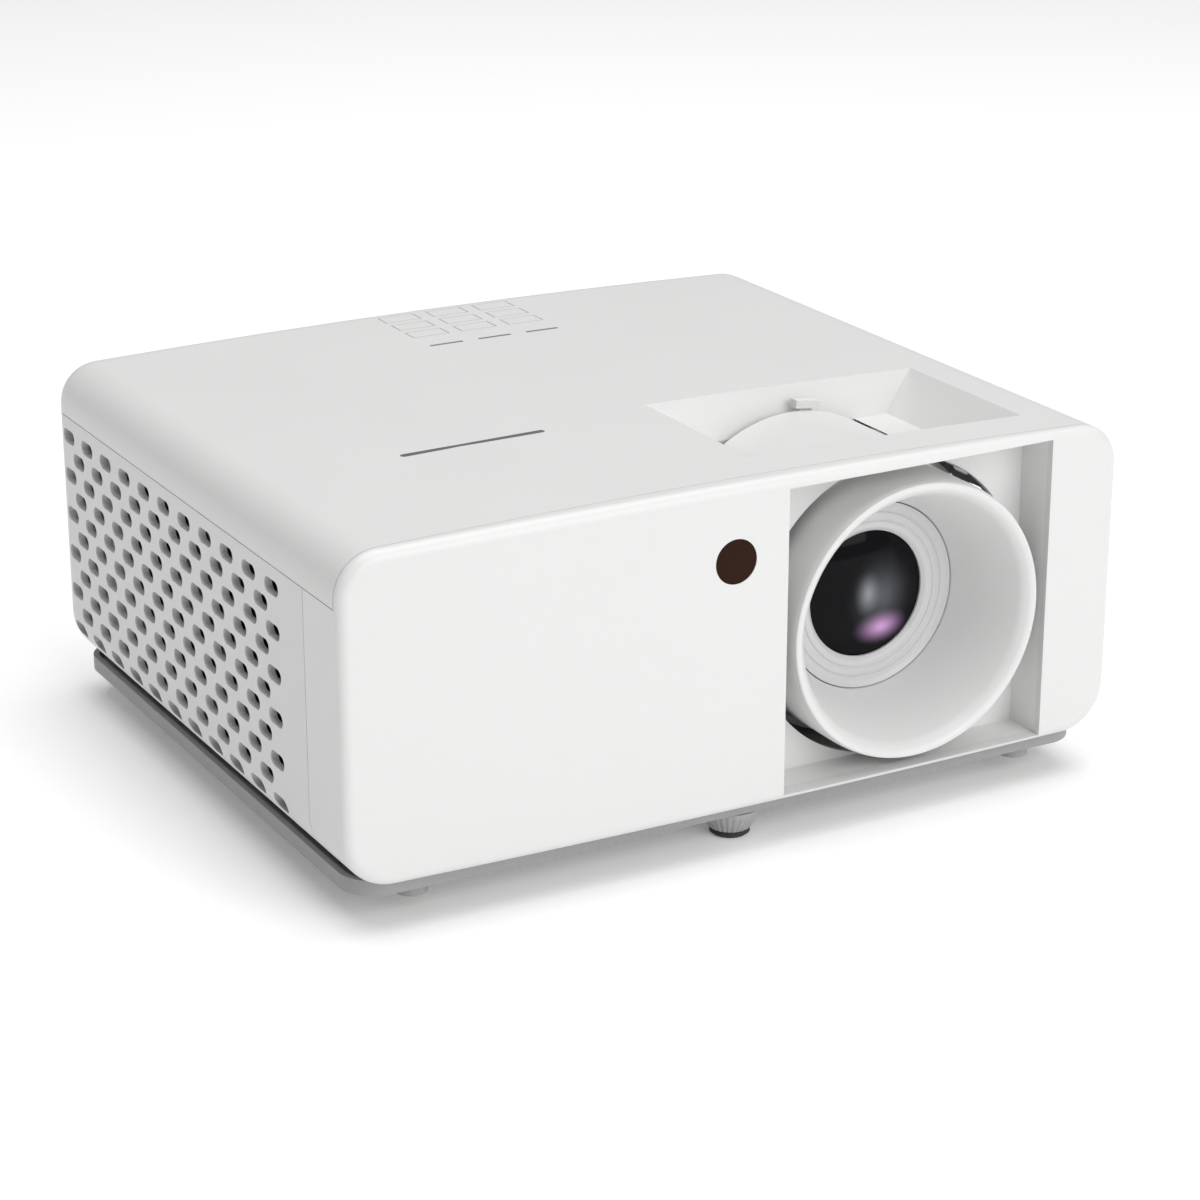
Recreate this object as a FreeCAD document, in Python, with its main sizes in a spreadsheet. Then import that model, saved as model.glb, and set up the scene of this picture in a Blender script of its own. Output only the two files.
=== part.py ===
"""Home projector: a white moulded housing round a lens, a laser light engine and its electronics.

+X is the lens side, -Y the front that faces the screen, +Z up.  The origin lies on the table,
under the middle of the housing.  Lengths are millimetres and angles degrees.
"""
import FreeCAD, Part
import Sketcher
import math
import operator
import os
from types import SimpleNamespace

os.makedirs("parts", exist_ok=True)
doc = FreeCAD.newDocument("home_projector")
sheet = doc.addObject("Spreadsheet::Sheet", "Sizes")

# ---------------------------------------------------------------- driving dimensions

DIMENSIONS = {
    # housing
    "body_width": 274, "body_depth": 236, "base_height": 15,
    "front_bow": 3, "crown": 2.5, "wall": 2.5, "shoulder_radius": 14, "skirt_radius": 16,
    "rear_radius": 13, "front_radius": 3.5, "tongue": 1.5, "tongue_lap": 3, "seam": 0.3,
    "fascia_depth": 6.5, "band_depth": 28, "rear_wrap": 10, "cover_drop": 16, "skirt_height": 5,
    # side perforations
    "slot_length": 10.2, "slot_height": 4.9, "slot_pitch": 17.1, "row_step": 6.95,
    "slot_first": -70, "row_first": 26.5, "slot_columns": 11, "slot_rows": 6,
    # base pan and feet
    "pan_height": 5, "pan_inset": 5, "pan_sheet": 2, "pan_corner": 12,
    "foot_radius": 10, "foot_tip_radius": 6.75, "foot_pad_radius": 6.5, "foot_pad_height": 2.2,
    "foot_gap": 0.4, "foot_screw_radius": 3.5, "foot_screw_rise": 24, "foot_pin_radius": 2,
    "foot_bush_radius": 5, "foot_bush_height": 9, "foot_collar": 1.5,
    "front_foot_x": 2.4, "front_foot_y": -103, "rear_foot_x": 108, "rear_foot_y": 92,
    "running_gap": 0.05,
    # ceiling mount and case screws
    "mount_x": 110, "mount_front_y": -105, "mount_rear_y": 62, "insert_radius": 3,
    "insert_bore": 2.1, "boss_radius": 5, "boss_drop": 4,
    "post_x": 122, "post_front_y": -102, "post_rear_y": 97, "post_radius": 4.5,
    "post_joint": 60, "screw_radius": 1.5, "screw_head_radius": 2.8, "screw_head_height": 2,
    "screw_reach": 14,
    # lens bay and focus recess
    "lens_x": 60.5, "drum_footroom": 2, "drum_headroom": 5, "opening_gap": 0.8,
    "bay_left": 11, "bay_right": 110, "bay_wall": 2, "bay_depth": 18, "bay_floor": 2.5,
    "recess_left": 12.4, "recess_right": 111.6, "recess_front": -98, "recess_back": -35.5,
    "recess_depth": 12, "recess_side_run": 11.6, "recess_back_run": 4.5, "recess_front_run": 2,
    "recess_wall": 2,
    # lens
    "hood_radius": 46, "hood_front": -120, "hood_mouth": 43.5, "hood_throat": 31.5,
    "throat_y": -92, "lip": 2.2, "drum_radius": 48.5, "drum_front": -85, "drum_back": -42.4,
    "drum_wall": 2.5, "hub_radius": 36, "hub_back": -58,
    "barrel_radius": 33, "barrel_bore": 30, "barrel_front": -84.5, "flange_radius": 42,
    "flange_front": -18, "flange_back": -14, "zoom_ring_radius": 38.5, "zoom_ring_front": -41.8,
    "zoom_ring_back": -27, "zoom_stem": 1.6, "zoom_nub_width": 9, "zoom_nub_depth": 3.6,
    "zoom_nub_height": 2.6, "zoom_nub_gap": 0.6, "zoom_stem_width": 5, "zoom_rest_angle": 7.4,
    "front_cell_front": -90, "front_cell_back": -66, "front_glass_radius": 22,
    "front_glass_bow": 3, "front_glass_edge": 6, "cell_wall": 3,
    "zoom_cell_front": -50, "zoom_cell_back": -34, "zoom_glass_edge": 5, "zoom_glass_bow": 4,
    "rear_glass_front": -24, "rear_glass_edge": 4, "rear_glass_bow": 3, "rear_glass_radius": 22,
    # front eye and lights on the cover
    "eye_x": -7.5, "eye_height": 97.4, "eye_radius": 7.2, "eye_flange": 9,
    "light_y": 62.5, "light_length": 12.5, "light_width": 1.6,
    "key_x": 5.5, "key_y": 89, "key_pitch_x": 18.5, "key_pitch_y": 11, "key_length": 13,
    "key_width": 7, "key_gap": 0.35, "key_travel": 0.6, "keypad_height": 106, "board": 1.6,
    "switch_height": 3.5,
    # light engine
    "engine_left": -20, "engine_right": 100, "engine_back": 26, "engine_bottom": 28,
    "engine_top": 98, "engine_wall": 3, "prism_side": 25,
    "tunnel_side": 8, "tunnel_wall": 1, "tunnel_left": -14, "tunnel_right": 40, "tunnel_y": 5.5,
    "wheel_x": -26, "wheel_radius": 24, "wheel_thickness": 1.2, "wheel_drop": 20,
    "motor_radius": 11, "motor_length": 16, "shaft_radius": 1.5,
    "laser_right": -60, "laser_depth": 12, "laser_low_y": -20, "laser_high_y": 28,
    "laser_bottom": 38, "laser_top": 88, "diode_radius": 4.5, "diode_reach": 5,
    "sink_left": -97, "sink_plate": 6, "sink_front": -40, "sink_rear": 48, "sink_bottom": 25,
    "sink_top": 100, "fin_thickness": 1.4, "fin_pitch": 4.3,
    "chip_front": 23.5, "chip_gap": 3, "dmd_board_height": 60, "dmd_sink_side": 48,
    "dmd_sink_depth": 26,
    # fans
    "fan_left": -125, "fan_depth": 25, "fan_side": 80, "fan_bore": 37.5, "fan_front_y": -50,
    "fan_rear_y": 36, "fan_height": 60.5, "fan_hub": 15, "fan_tip": 36.2, "blade_count": 7,
    # boards and sockets
    "main_left": 0, "main_right": 96, "main_front": 62, "main_rear": 112, "main_height": 36,
    "supply_left": -97, "supply_right": -14, "supply_front": -106, "supply_rear": -46,
    "supply_height": 24, "socket_rear_gap": 0.5,
    "hdmi_x": 18, "hdmi_pitch": 22, "hdmi_width": 15, "hdmi_height": 6.4, "hdmi_mouth_width": 14,
    "hdmi_mouth_height": 4.8, "hdmi_depth": 12, "usb_x": 63, "usb_width": 14.5,
    "usb_height": 7.2, "usb_mouth_width": 12.6, "usb_mouth_height": 5.2,
    "jack_x": 82, "jack_side": 8, "jack_bore": 1.8,
    "inlet_x": -84, "inlet_width": 30, "inlet_height": 24, "inlet_bottom": 32,
    "inlet_depth": 22, "inlet_mouth_width": 24, "inlet_mouth_height": 17, "inlet_mouth_depth": 16,
    "speaker_left": 103, "speaker_depth": 18, "speaker_front": -22, "speaker_rear": 34,
    "speaker_tall": 60, "cone_radius": 22,
}

# ---------------------------------------------------------------- sizes that keep their formula

OPERATIONS = {"+": operator.add, "-": operator.sub, "*": operator.mul, "/": operator.truediv}


class Size:
    """A number that keeps the spreadsheet formula it came from beside its present value."""

    def __init__(self, formula, value):
        self.formula = formula
        self.value = float(value)

    def __add__(self, other):
        return combine(self, "+", other)

    def __radd__(self, other):
        return combine(other, "+", self)

    def __sub__(self, other):
        return combine(self, "-", other)

    def __rsub__(self, other):
        return combine(other, "-", self)

    def __mul__(self, other):
        return combine(self, "*", other)

    def __rmul__(self, other):
        return combine(other, "*", self)

    def __truediv__(self, other):
        return combine(self, "/", other)

    def __neg__(self):
        return combine(0, "-", self)


def as_size(value):
    return value if isinstance(value, Size) else Size(repr(float(value)), value)


def combine(first, sign, second):
    first, second = as_size(first), as_size(second)
    value = OPERATIONS[sign](first.value, second.value)
    return Size("(%s %s %s)" % (first.formula, sign, second.formula), value)


def write_sheet():
    """Fills the sheet, one named row per dimension, and returns the named sizes."""
    named = {}
    for row, (name, value) in enumerate(DIMENSIONS.items(), start=1):
        sheet.set("A%d" % row, name)
        sheet.set("B%d" % row, str(value))
        sheet.setAlias("B%d" % row, name)
        named[name] = Size("Sizes." + name, value)
    doc.recompute()
    return SimpleNamespace(**named)


d = write_sheet()
pieces = []


def piece(thing, label):
    """Marks a finished sub-part, which is written to a file of its own."""
    thing.Label = label
    pieces.append(thing)
    return thing


# ---------------------------------------------------------------- primitives

TURNS = {"x": (FreeCAD.Vector(0, 1, 0), 90), "y": (FreeCAD.Vector(1, 0, 0), -90),
         "z": (FreeCAD.Vector(0, 0, 1), 0)}


def bind(thing, **values):
    """Binds each named property to its formula."""
    for name, value in values.items():
        thing.setExpression(name, as_size(value).formula)


def place(thing, x=0, y=0, z=0, turn=(FreeCAD.Vector(0, 0, 1), 0)):
    thing.Placement = FreeCAD.Placement(FreeCAD.Vector(0, 0, 0), FreeCAD.Rotation(*turn))
    for letter, value in zip("xyz", (x, y, z)):
        thing.setExpression("Placement.Base." + letter, as_size(value).formula)
    return thing


def block(name, x, y, z):
    """A box between two values on each axis."""
    thing = doc.addObject("Part::Box", name)
    bind(thing, Length=x[1] - x[0], Width=y[1] - y[0], Height=z[1] - z[0])
    return place(thing, x[0], y[0], z[0])


def centred_block(name, x, y, z, length, width, height):
    """A box centred at x, y that stands on z."""
    return block(name, (x - length / 2, x + length / 2), (y - width / 2, y + width / 2),
                 (as_size(z), z + height))


def rod(name, radius, axis, start, end, at):
    """A round bar along an axis, from start to end, through the two other coordinates."""
    thing = doc.addObject("Part::Cylinder", name)
    bind(thing, Radius=radius, Height=end - start)
    spots = {"x": (start, *at), "y": (at[0], start, at[1]), "z": (*at, start)}
    return place(thing, *spots[axis], turn=TURNS[axis])


def frustum(name, low, high, z_low, z_high):
    """A block with sloping sides: rectangle low at z_low, rectangle high at z_high."""
    thing = doc.addObject("Part::Wedge", name)
    bind(thing, Xmin=low[0], Xmax=low[1], Zmin=-low[3], Zmax=-low[2], Ymin=z_low, Ymax=z_high,
         X2min=high[0], X2max=high[1], Z2min=-high[3], Z2max=-high[2])
    return place(thing, turn=(FreeCAD.Vector(1, 0, 0), 90))


def fuse(name, *things):
    thing = doc.addObject("Part::MultiFuse", name)
    thing.Shapes = list(things)
    return thing


def cut(name, base, *tools):
    thing = doc.addObject("Part::Cut", name)
    thing.Base = base
    thing.Tool = tools[0] if len(tools) == 1 else fuse(name + "_tools", *tools)
    return thing


def common(name, first, second):
    thing = doc.addObject("Part::Common", name)
    thing.Base = first
    thing.Tool = second
    return thing


# ---------------------------------------------------------------- bodies made from sketches

def new_sketch(body, plane, offset=0):
    """A sketch on one of the body's own planes, moved along that plane's normal."""
    sketch = body.newObject("Sketcher::SketchObject", body.Name + "_sketch")
    origin = [f for f in body.Origin.OriginFeatures if f.Role == plane + "_Plane"]
    sketch.AttachmentSupport = [(origin[0], "")]
    sketch.MapMode = "FlatFace"
    sketch.setExpression("AttachmentOffset.Base.z", as_size(offset).formula)
    return sketch


def hold_point(sketch, geometry, end, point):
    """Holds one end of a line or arc at its two formulas, measured from the sketch's origin."""
    sizes = [as_size(value) for value in point]
    kinds = ("DistanceX", "DistanceY")
    for kind, size in zip(kinds, sizes):
        rule = Sketcher.Constraint(kind, -1, 1, geometry, end, size.value)
        index = sketch.addConstraint(rule)
        sketch.setExpression("Constraints[%d]" % index, size.formula)


def outline(sketch, points):
    """A closed outline of straight lines through the points."""
    spots = [FreeCAD.Vector(as_size(a).value, as_size(b).value, 0) for a, b in points]
    count = len(spots)
    first = sketch.GeometryCount
    sketch.addGeometry([Part.LineSegment(spots[i], spots[(i + 1) % count]) for i in range(count)])
    sketch.addConstraint([Sketcher.Constraint("Coincident", first + i, 2,
                                              first + (i + 1) % count, 1) for i in range(count)])
    for i, point in enumerate(points):
        hold_point(sketch, first + i, 1, point)


def rectangle(x, y):
    return [(x[0], y[0]), (x[1], y[0]), (x[1], y[1]), (x[0], y[1])]


def turned(name, axis, points, at=(0, 0, 0)):
    """A turned piece: an outline of (radius, distance along the axis) swung round the axis."""
    body = doc.addObject("PartDesign::Body", name)
    sketch = new_sketch(body, "XZ" if axis == "z" else "XY")
    outline(sketch, [(b, a) for a, b in points] if axis == "x" else points)
    turn = body.newObject("PartDesign::Revolution", name + "_turn")
    turn.Profile = sketch
    turn.ReferenceAxis = (sketch, ["H_Axis" if axis == "x" else "V_Axis"])
    turn.Angle = 360
    return place(body, *at)


def padded(name, plane, points, low, high, at=(0, 0, 0)):
    """A body padded from a straight-sided outline between two levels across its plane."""
    body = doc.addObject("PartDesign::Body", name)
    sketch = new_sketch(body, plane, -high if plane == "XZ" else low)
    outline(sketch, points)
    pad = body.newObject("PartDesign::Pad", name + "_pad")
    pad.Profile = sketch
    bind(pad, Length=high - low)
    return place(body, *at)


def round_edges(body, wanted, radius):
    """Rounds the edges of a body for which wanted(edge) is true."""
    doc.recompute()
    base = body.Tip
    names = ["Edge%d" % (i + 1) for i, edge in enumerate(base.Shape.Edges) if wanted(edge)]
    rounded = body.newObject("PartDesign::Fillet", body.Name + "_round")
    rounded.Base = (base, names)
    bind(rounded, Radius=radius)
    body.Tip = rounded


def runs_along(edge, axis):
    box = edge.BoundBox
    spans = {"x": box.XLength, "y": box.YLength, "z": box.ZLength}
    return all(length < 1e-6 for letter, length in spans.items() if letter != axis)


# ---------------------------------------------------------------- housing

half_width = d.body_width / 2
half_depth = d.body_depth / 2
drum_bottom = d.base_height + d.drum_footroom
lens_height = drum_bottom + d.drum_radius
top_edge = lens_height + d.drum_radius + d.drum_headroom
front_face = -half_depth - d.front_bow
fascia_back = front_face + d.fascia_depth
band_back = front_face + d.band_depth
wrap_front = half_depth - d.rear_wrap
side_top = top_edge - d.cover_drop
skirt_top = d.base_height + d.skirt_height
floor_top = d.base_height + d.wall
FAR = as_size(200)


def sagitta_radius(span, rise):
    """Radius of the arc that spans a width and rises by a small height."""
    return span * span / (8 * rise) + rise / 2


def add_arc_side(sketch, left, right, rise, top):
    """Closes a box-like outline with a shallow arc over its top; top is the level of its ends."""
    middle = FreeCAD.Vector(0, top.value + rise.value, 0)
    ends = [FreeCAD.Vector(side.value, top.value, 0) for side in (left, right)]
    arc = sketch.addGeometry(Part.Arc(ends[0], middle, ends[1]))
    radius = sagitta_radius(right - left, rise)
    index = sketch.addConstraint(Sketcher.Constraint("Radius", arc, radius.value))
    sketch.setExpression("Constraints[%d]" % index, radius.formula)
    return arc


def rounded_housing(name, inset):
    """The housing's outer form, drawn in by an inset: a crowned front view run from back to front,
    bowed across the front, with soft shoulders, a rounded skirt and rounded front and rear rims."""
    body = doc.addObject("PartDesign::Body", name)
    left, right = inset - half_width, half_width - inset
    low, high = d.base_height + inset, top_edge - inset
    back, front = half_depth - inset, front_face + inset
    sketch = new_sketch(body, "XZ", -back)
    corners = [(left, high), (left, low), (right, low), (right, high)]
    spots = [FreeCAD.Vector(a.value, b.value, 0) for a, b in corners]
    sketch.addGeometry([Part.LineSegment(spots[i], spots[i + 1]) for i in range(3)])
    arc = add_arc_side(sketch, left, right, d.crown, high)
    joints = [(0, 2, 1, 1), (1, 2, 2, 1), (2, 2, arc, 1), (0, 1, arc, 2)]
    sketch.addConstraint([Sketcher.Constraint("Coincident", *joint) for joint in joints])
    for line, end, point in ((0, 1, corners[0]), (1, 1, corners[1]), (2, 1, corners[2]),
                             (2, 2, corners[3])):
        hold_point(sketch, line, end, point)
    pad = body.newObject("PartDesign::Pad", name + "_pad")
    pad.Profile = sketch
    bind(pad, Length=back - front)
    middle = (low.value + high.value) / 2
    round_edges(body, lambda e: runs_along(e, "y") and e.BoundBox.ZMin > middle,
                d.shoulder_radius - inset)
    round_edges(body, lambda e: runs_along(e, "y") and e.BoundBox.ZMax < low.value + 1,
                d.skirt_radius - inset)
    bow_front(body, left, right, front)
    if inset.value == 0:
        round_edges(body, lambda e: e.BoundBox.YMax < front.value + d.front_bow.value + 1,
                    d.front_radius)
    round_edges(body, lambda e: e.BoundBox.YMin > back.value - 1e-6, d.rear_radius - inset)
    return body


def bow_front(body, left, right, front):
    """Trims the front to a shallow arc in plan, furthest forward in the middle."""
    sketch = new_sketch(body, "XY")
    level = front + d.front_bow
    ahead = front - 10
    arc_ends = [FreeCAD.Vector(side.value, level.value, 0) for side in (left, right)]
    middle = FreeCAD.Vector(0, front.value, 0)
    arc = sketch.addGeometry(Part.Arc(arc_ends[0], middle, arc_ends[1]))
    corners = [(left, level), (left, ahead), (right, ahead), (right, level)]
    spots = [FreeCAD.Vector(a.value, b.value, 0) for a, b in corners]
    sketch.addGeometry([Part.LineSegment(spots[i], spots[i + 1]) for i in range(3)])
    joints = [(1, 2, 2, 1), (2, 2, 3, 1), (1, 1, arc, 1), (3, 2, arc, 2)]
    sketch.addConstraint([Sketcher.Constraint("Coincident", *joint) for joint in joints])
    for line, end, point in ((1, 1, corners[0]), (2, 1, corners[1]), (3, 1, corners[2]),
                             (3, 2, corners[3])):
        hold_point(sketch, line, end, point)
    radius = sagitta_radius(right - left, d.front_bow)
    index = sketch.addConstraint(Sketcher.Constraint("Radius", arc, radius.value))
    sketch.setExpression("Constraints[%d]" % index, radius.formula)
    pocket = body.newObject("PartDesign::Pocket", body.Name + "_bow")
    pocket.Profile = sketch
    pocket.Type = "ThroughAll"
    pocket.Midplane = True
    body.Tip = pocket


form = rounded_housing("form", as_size(0))
cavity = rounded_housing("cavity", d.wall)
core = rounded_housing("core", d.wall + d.tongue)
shell = cut("shell", form, cavity)
lining = cut("lining", cavity, core)

# ---------------------------------------------------------------- places shared by several pieces

opening_radius = d.drum_radius + d.opening_gap
lens_at = (d.lens_x, 0, lens_height)
bay_left_wall = d.bay_left - d.bay_wall
bay_right_wall = d.bay_right + d.bay_wall
bay_pocket = front_face + d.bay_depth
bay_back = bay_pocket + d.bay_floor
bay_low = d.base_height + d.bay_wall
recess_floor = top_edge - d.recess_depth
post_spots = [(d.post_x, d.post_front_y), (-d.post_x, d.post_front_y),
              (d.post_x, d.post_rear_y), (-d.post_x, d.post_rear_y)]
mount_spots = [(d.mount_x, d.mount_front_y), (-d.mount_x, d.mount_front_y),
               (d.mount_x, d.mount_rear_y), (-d.mount_x, d.mount_rear_y)]
foot_spots = {"front_foot": (d.front_foot_x, d.front_foot_y),
              "rear_left_foot": (-d.rear_foot_x, d.rear_foot_y),
              "rear_right_foot": (d.rear_foot_x, d.rear_foot_y)}
pan_top = d.base_height
pan_bottom = d.base_height - d.pan_height
bush_top = floor_top + d.foot_bush_height
fan_centres = {"front": d.fan_front_y, "rear": d.fan_rear_y}
fan_bottom = d.fan_height - d.fan_side / 2
sink_deck = floor_top
light_shift = {"left": -1, "middle": 0, "right": 1}
key_grid = {"power_key": (-1, 1), "up_key": (0, 1), "source_key": (1, 1),
            "left_key": (-1, 0), "enter_key": (0, 0), "right_key": (1, 0),
            "menu_key": (-1, -1), "down_key": (0, -1), "back_key": (1, -1)}


def key_spot(step):
    return d.key_x + step[0] * d.key_pitch_x, d.key_y + step[1] * d.key_pitch_y


def barrel_opening(name, start, end):
    """The round passage for the focus ring, between two levels along the lens axis."""
    return rod(name, opening_radius, "y", start, end, (d.lens_x, lens_height))


# ---------------------------------------------------------------- top cover

def recess_rectangles(margin):
    """The recess in plan at its floor and at the cover's edge level, grown by a margin."""
    top = (d.recess_left - margin, d.recess_right + margin, d.recess_front - margin,
           d.recess_back + margin)
    low = (top[0] + d.recess_side_run, top[1] - d.recess_side_run, top[2] + d.recess_front_run,
           top[3] - d.recess_back_run)
    return low, top


def recess_form(name, margin):
    """The recess runs on above the cover's edge by a quarter of its depth, at the same slopes."""
    low, top = recess_rectangles(margin)
    past = [top[i] + (top[i] - low[i]) / 4 for i in range(4)]
    low = low if margin.value == 0 else [low[i] + (low[i] - top[i]) * margin / d.recess_depth
                                         for i in range(4)]
    return frustum(name, low, past, recess_floor - margin, top_edge + d.recess_depth / 4)


def make_top_cover():
    cover_zone = block("cover_zone", (-FAR, FAR), (fascia_back + d.seam, FAR), (side_top, FAR))
    lap_zone = block("cover_lap_zone", (-FAR, FAR), (band_back + 2, FAR),
                     (side_top - d.tongue_lap, side_top + d.tongue_lap))
    tub = common("recess_tub", recess_form("recess_outer", d.recess_wall), form)
    posts = [rod("cover_post_%d" % i, d.post_radius, "z", d.post_joint, top_edge - d.wall / 2, spot)
             for i, spot in enumerate(post_spots)]
    board_top = d.keypad_height + d.board
    pegs = [centred_block("keypad_peg_%d" % i, x, y, board_top, 4, 4, top_edge + 1 - board_top)
            for i, (x, y) in enumerate(keypad_corners())]
    whole = fuse("cover_whole", common("cover_skin", shell, cover_zone),
                 common("cover_lap", lining, lap_zone), tub, *posts, *pegs)
    holes = [recess_form("recess_space", as_size(0)),
             barrel_opening("cover_opening", d.recess_front - 12, recess_back_low())]
    for i, spot in enumerate(post_spots):
        holes.append(rod("cover_pilot_%d" % i, d.screw_radius, "z", d.post_joint,
                         d.post_joint + d.screw_reach, spot))
    for name, step in key_grid.items():
        x, y = key_spot(step)
        holes.append(centred_block(name + "_hole", x, y, top_edge - 12, d.key_length + 2 * d.key_gap,
                                   d.key_width + 2 * d.key_gap, 30))
    for name, step in light_shift.items():
        holes.append(centred_block(name + "_light_hole", d.key_x + step * d.key_pitch_x, d.light_y,
                                   top_edge - 12, d.light_length, d.light_width, 30))
    return piece(cut("top_cover", whole, *holes), "top_cover")


def recess_back_low():
    return d.recess_back - d.recess_back_run


def keypad_corners():
    """The pegs that hold the keypad board, outside the key field."""
    side = d.key_pitch_x * 1.5 + 3
    return [(d.key_x - side, d.light_y + 6), (d.key_x + side, d.light_y + 6),
            (d.key_x - side, d.key_y + 14), (d.key_x + side, d.key_y + 14)]


make_top_cover()


# ---------------------------------------------------------------- sides, front and rear

def side_grille(name):
    """Left side panel with staggered oval perforations and a thin lap behind each upright edge."""
    panel_zone = block(name + "_zone", (-FAR, -half_width + d.skirt_radius),
                       (band_back + d.seam, wrap_front), (skirt_top, side_top - d.seam))
    reach = d.tongue_lap
    laps = [block(name + "_front_lap", (-FAR, -half_width + 8), (band_back - reach, band_back + reach),
                  (skirt_top + 5, side_top - d.tongue_lap - 1)),
            block(name + "_rear_lap", (-FAR, -half_width + 8), (wrap_front - reach, wrap_front + reach),
                  (skirt_top + 5, side_top - d.tongue_lap - 1))]
    blank = fuse(name + "_blank", common(name + "_skin", shell, panel_zone),
                 common(name + "_laps", lining, fuse(name + "_lap_zones", *laps)))
    doc.recompute()
    body = doc.addObject("PartDesign::Body", name)
    body.BaseFeature = blank
    for shift, fewer in ((0, 0), (1, 1)):
        perforate(body, shift, fewer)
    return body


def perforate(body, shift, fewer):
    """One family of slots: every second row, in columns one pitch apart."""
    y = d.slot_first + shift * d.slot_pitch / 2
    z = d.row_first + shift * d.row_step
    sketch = new_sketch(body, "YZ", -half_width - 20)
    slot(sketch, y, z)
    pocket = body.newObject("PartDesign::Pocket", "%s_slot_%d" % (body.Name, shift))
    pocket.Profile = sketch
    pocket.Reversed = True
    bind(pocket, Length=60)
    doc.recompute()
    grid = body.newObject("PartDesign::MultiTransform", "%s_slots_%d" % (body.Name, shift))
    steps = []
    for axis, pitch, number in (("H_Axis", d.slot_pitch, d.slot_columns - fewer),
                                ("V_Axis", 2 * d.row_step, d.slot_rows - fewer)):
        run = body.newObject("PartDesign::LinearPattern", "%s_run_%s_%d" % (body.Name, axis[0], shift))
        run.Direction = (sketch, [axis])
        run.Mode = "Spacing"
        bind(run, Offset=pitch, Occurrences=number)
        steps.append(run)
    grid.Originals = [pocket]
    grid.Transformations = steps
    body.Tip = grid


def slot(sketch, y, z):
    """A flat oval: two half rounds joined by straight sides."""
    radius = d.slot_height / 2
    left, right = y - d.slot_length / 2 + radius, y + d.slot_length / 2 - radius
    quarter = math.pi / 2
    ends = [Part.Circle(FreeCAD.Vector(side.value, z.value, 0), FreeCAD.Vector(0, 0, 1),
                        radius.value) for side in (left, right)]
    sketch.addGeometry([Part.ArcOfCircle(ends[0], quarter, 3 * quarter),
                        Part.ArcOfCircle(ends[1], -quarter, quarter)])
    low, high = z.value - radius.value, z.value + radius.value
    for level in (low, high):
        sketch.addGeometry(Part.LineSegment(FreeCAD.Vector(left.value, level, 0),
                                            FreeCAD.Vector(right.value, level, 0)))
    sketch.addConstraint([Sketcher.Constraint("Tangent", *joint) for joint in
                          ((2, 1, 0, 2), (2, 2, 1, 1), (3, 1, 0, 1), (3, 2, 1, 2))])
    hold_point(sketch, 0, 3, (left, z))
    hold_point(sketch, 1, 3, (right, z))
    index = sketch.addConstraint(Sketcher.Constraint("Radius", 0, radius.value))
    sketch.setExpression("Constraints[%d]" % index, radius.formula)


left_grille = piece(side_grille("left_grille"), "left_grille")
right_grille = doc.addObject("Part::Mirroring", "right_grille")
right_grille.Source = left_grille
right_grille.Normal = FreeCAD.Vector(1, 0, 0)
piece(right_grille, "right_grille")


def make_front_panel():
    """Face plate with its rounded rim, two side returns and laps behind the cover and the skirt."""
    face_zone = block("face_zone", (-FAR, FAR), (-FAR, fascia_back), (-FAR, FAR))
    return_zone = block("return_zone", (-FAR, FAR), (fascia_back - 1, band_back),
                        (skirt_top + d.seam, side_top - d.seam))
    lap_low, lap_back = front_face + d.wall, fascia_back + 5
    laps = []
    side_end = half_width - d.skirt_radius / 2
    for side, x in (("left", (-side_end, d.front_foot_x - 10)), ("right", (bay_right_wall + 1, side_end))):
        laps.append(block(side + "_upper_lap", x, (lap_low, lap_back), (top_edge - 8, FAR)))
        laps.append(block(side + "_lower_lap", x, (lap_low, lap_back), (-FAR, floor_top + 4)))
    whole = fuse("front_whole", common("front_face_skin", shell, face_zone),
                 common("front_returns", shell, return_zone),
                 common("front_laps", lining, fuse("front_lap_zones", *laps)))
    bay_hole = block("bay_hole", (d.bay_left, d.bay_right), (-FAR, fascia_back + 6),
                     (bay_low, top_edge - 1.5))
    eye_hole = rod("eye_hole", d.eye_radius, "y", front_face - 5, fascia_back,
                   (d.eye_x, d.eye_height))
    return piece(cut("front_panel", whole, bay_hole, eye_hole), "front_panel")


front_panel = make_front_panel()


def socket_cutouts():
    """Openings in the rear panel, each as large as the socket that fills it."""
    holes = []
    for name, x, z, width, height in socket_faces():
        holes.append(block(name + "_cutout", (x - width / 2, x + width / 2),
                           (half_depth - 8, half_depth + 5), (z, z + height)))
    return holes


def socket_faces():
    """Name, middle, underside, width and height of every socket in the rear panel."""
    deck = d.main_height + d.board
    return [("hdmi_1", d.hdmi_x, deck, d.hdmi_width, d.hdmi_height),
            ("hdmi_2", d.hdmi_x + d.hdmi_pitch, deck, d.hdmi_width, d.hdmi_height),
            ("usb", d.usb_x, deck, d.usb_width, d.usb_height),
            ("jack", d.jack_x, deck, d.jack_side, d.jack_side),
            ("inlet", d.inlet_x, d.inlet_bottom, d.inlet_width, d.inlet_height)]


rear_zone = block("rear_zone", (-FAR, FAR), (wrap_front + d.seam, FAR),
                  (skirt_top + d.seam, side_top - d.seam))
piece(cut("rear_panel", common("rear_skin", shell, rear_zone), *socket_cutouts()),
                   "rear_panel")


# ---------------------------------------------------------------- bottom case and base pan

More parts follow.
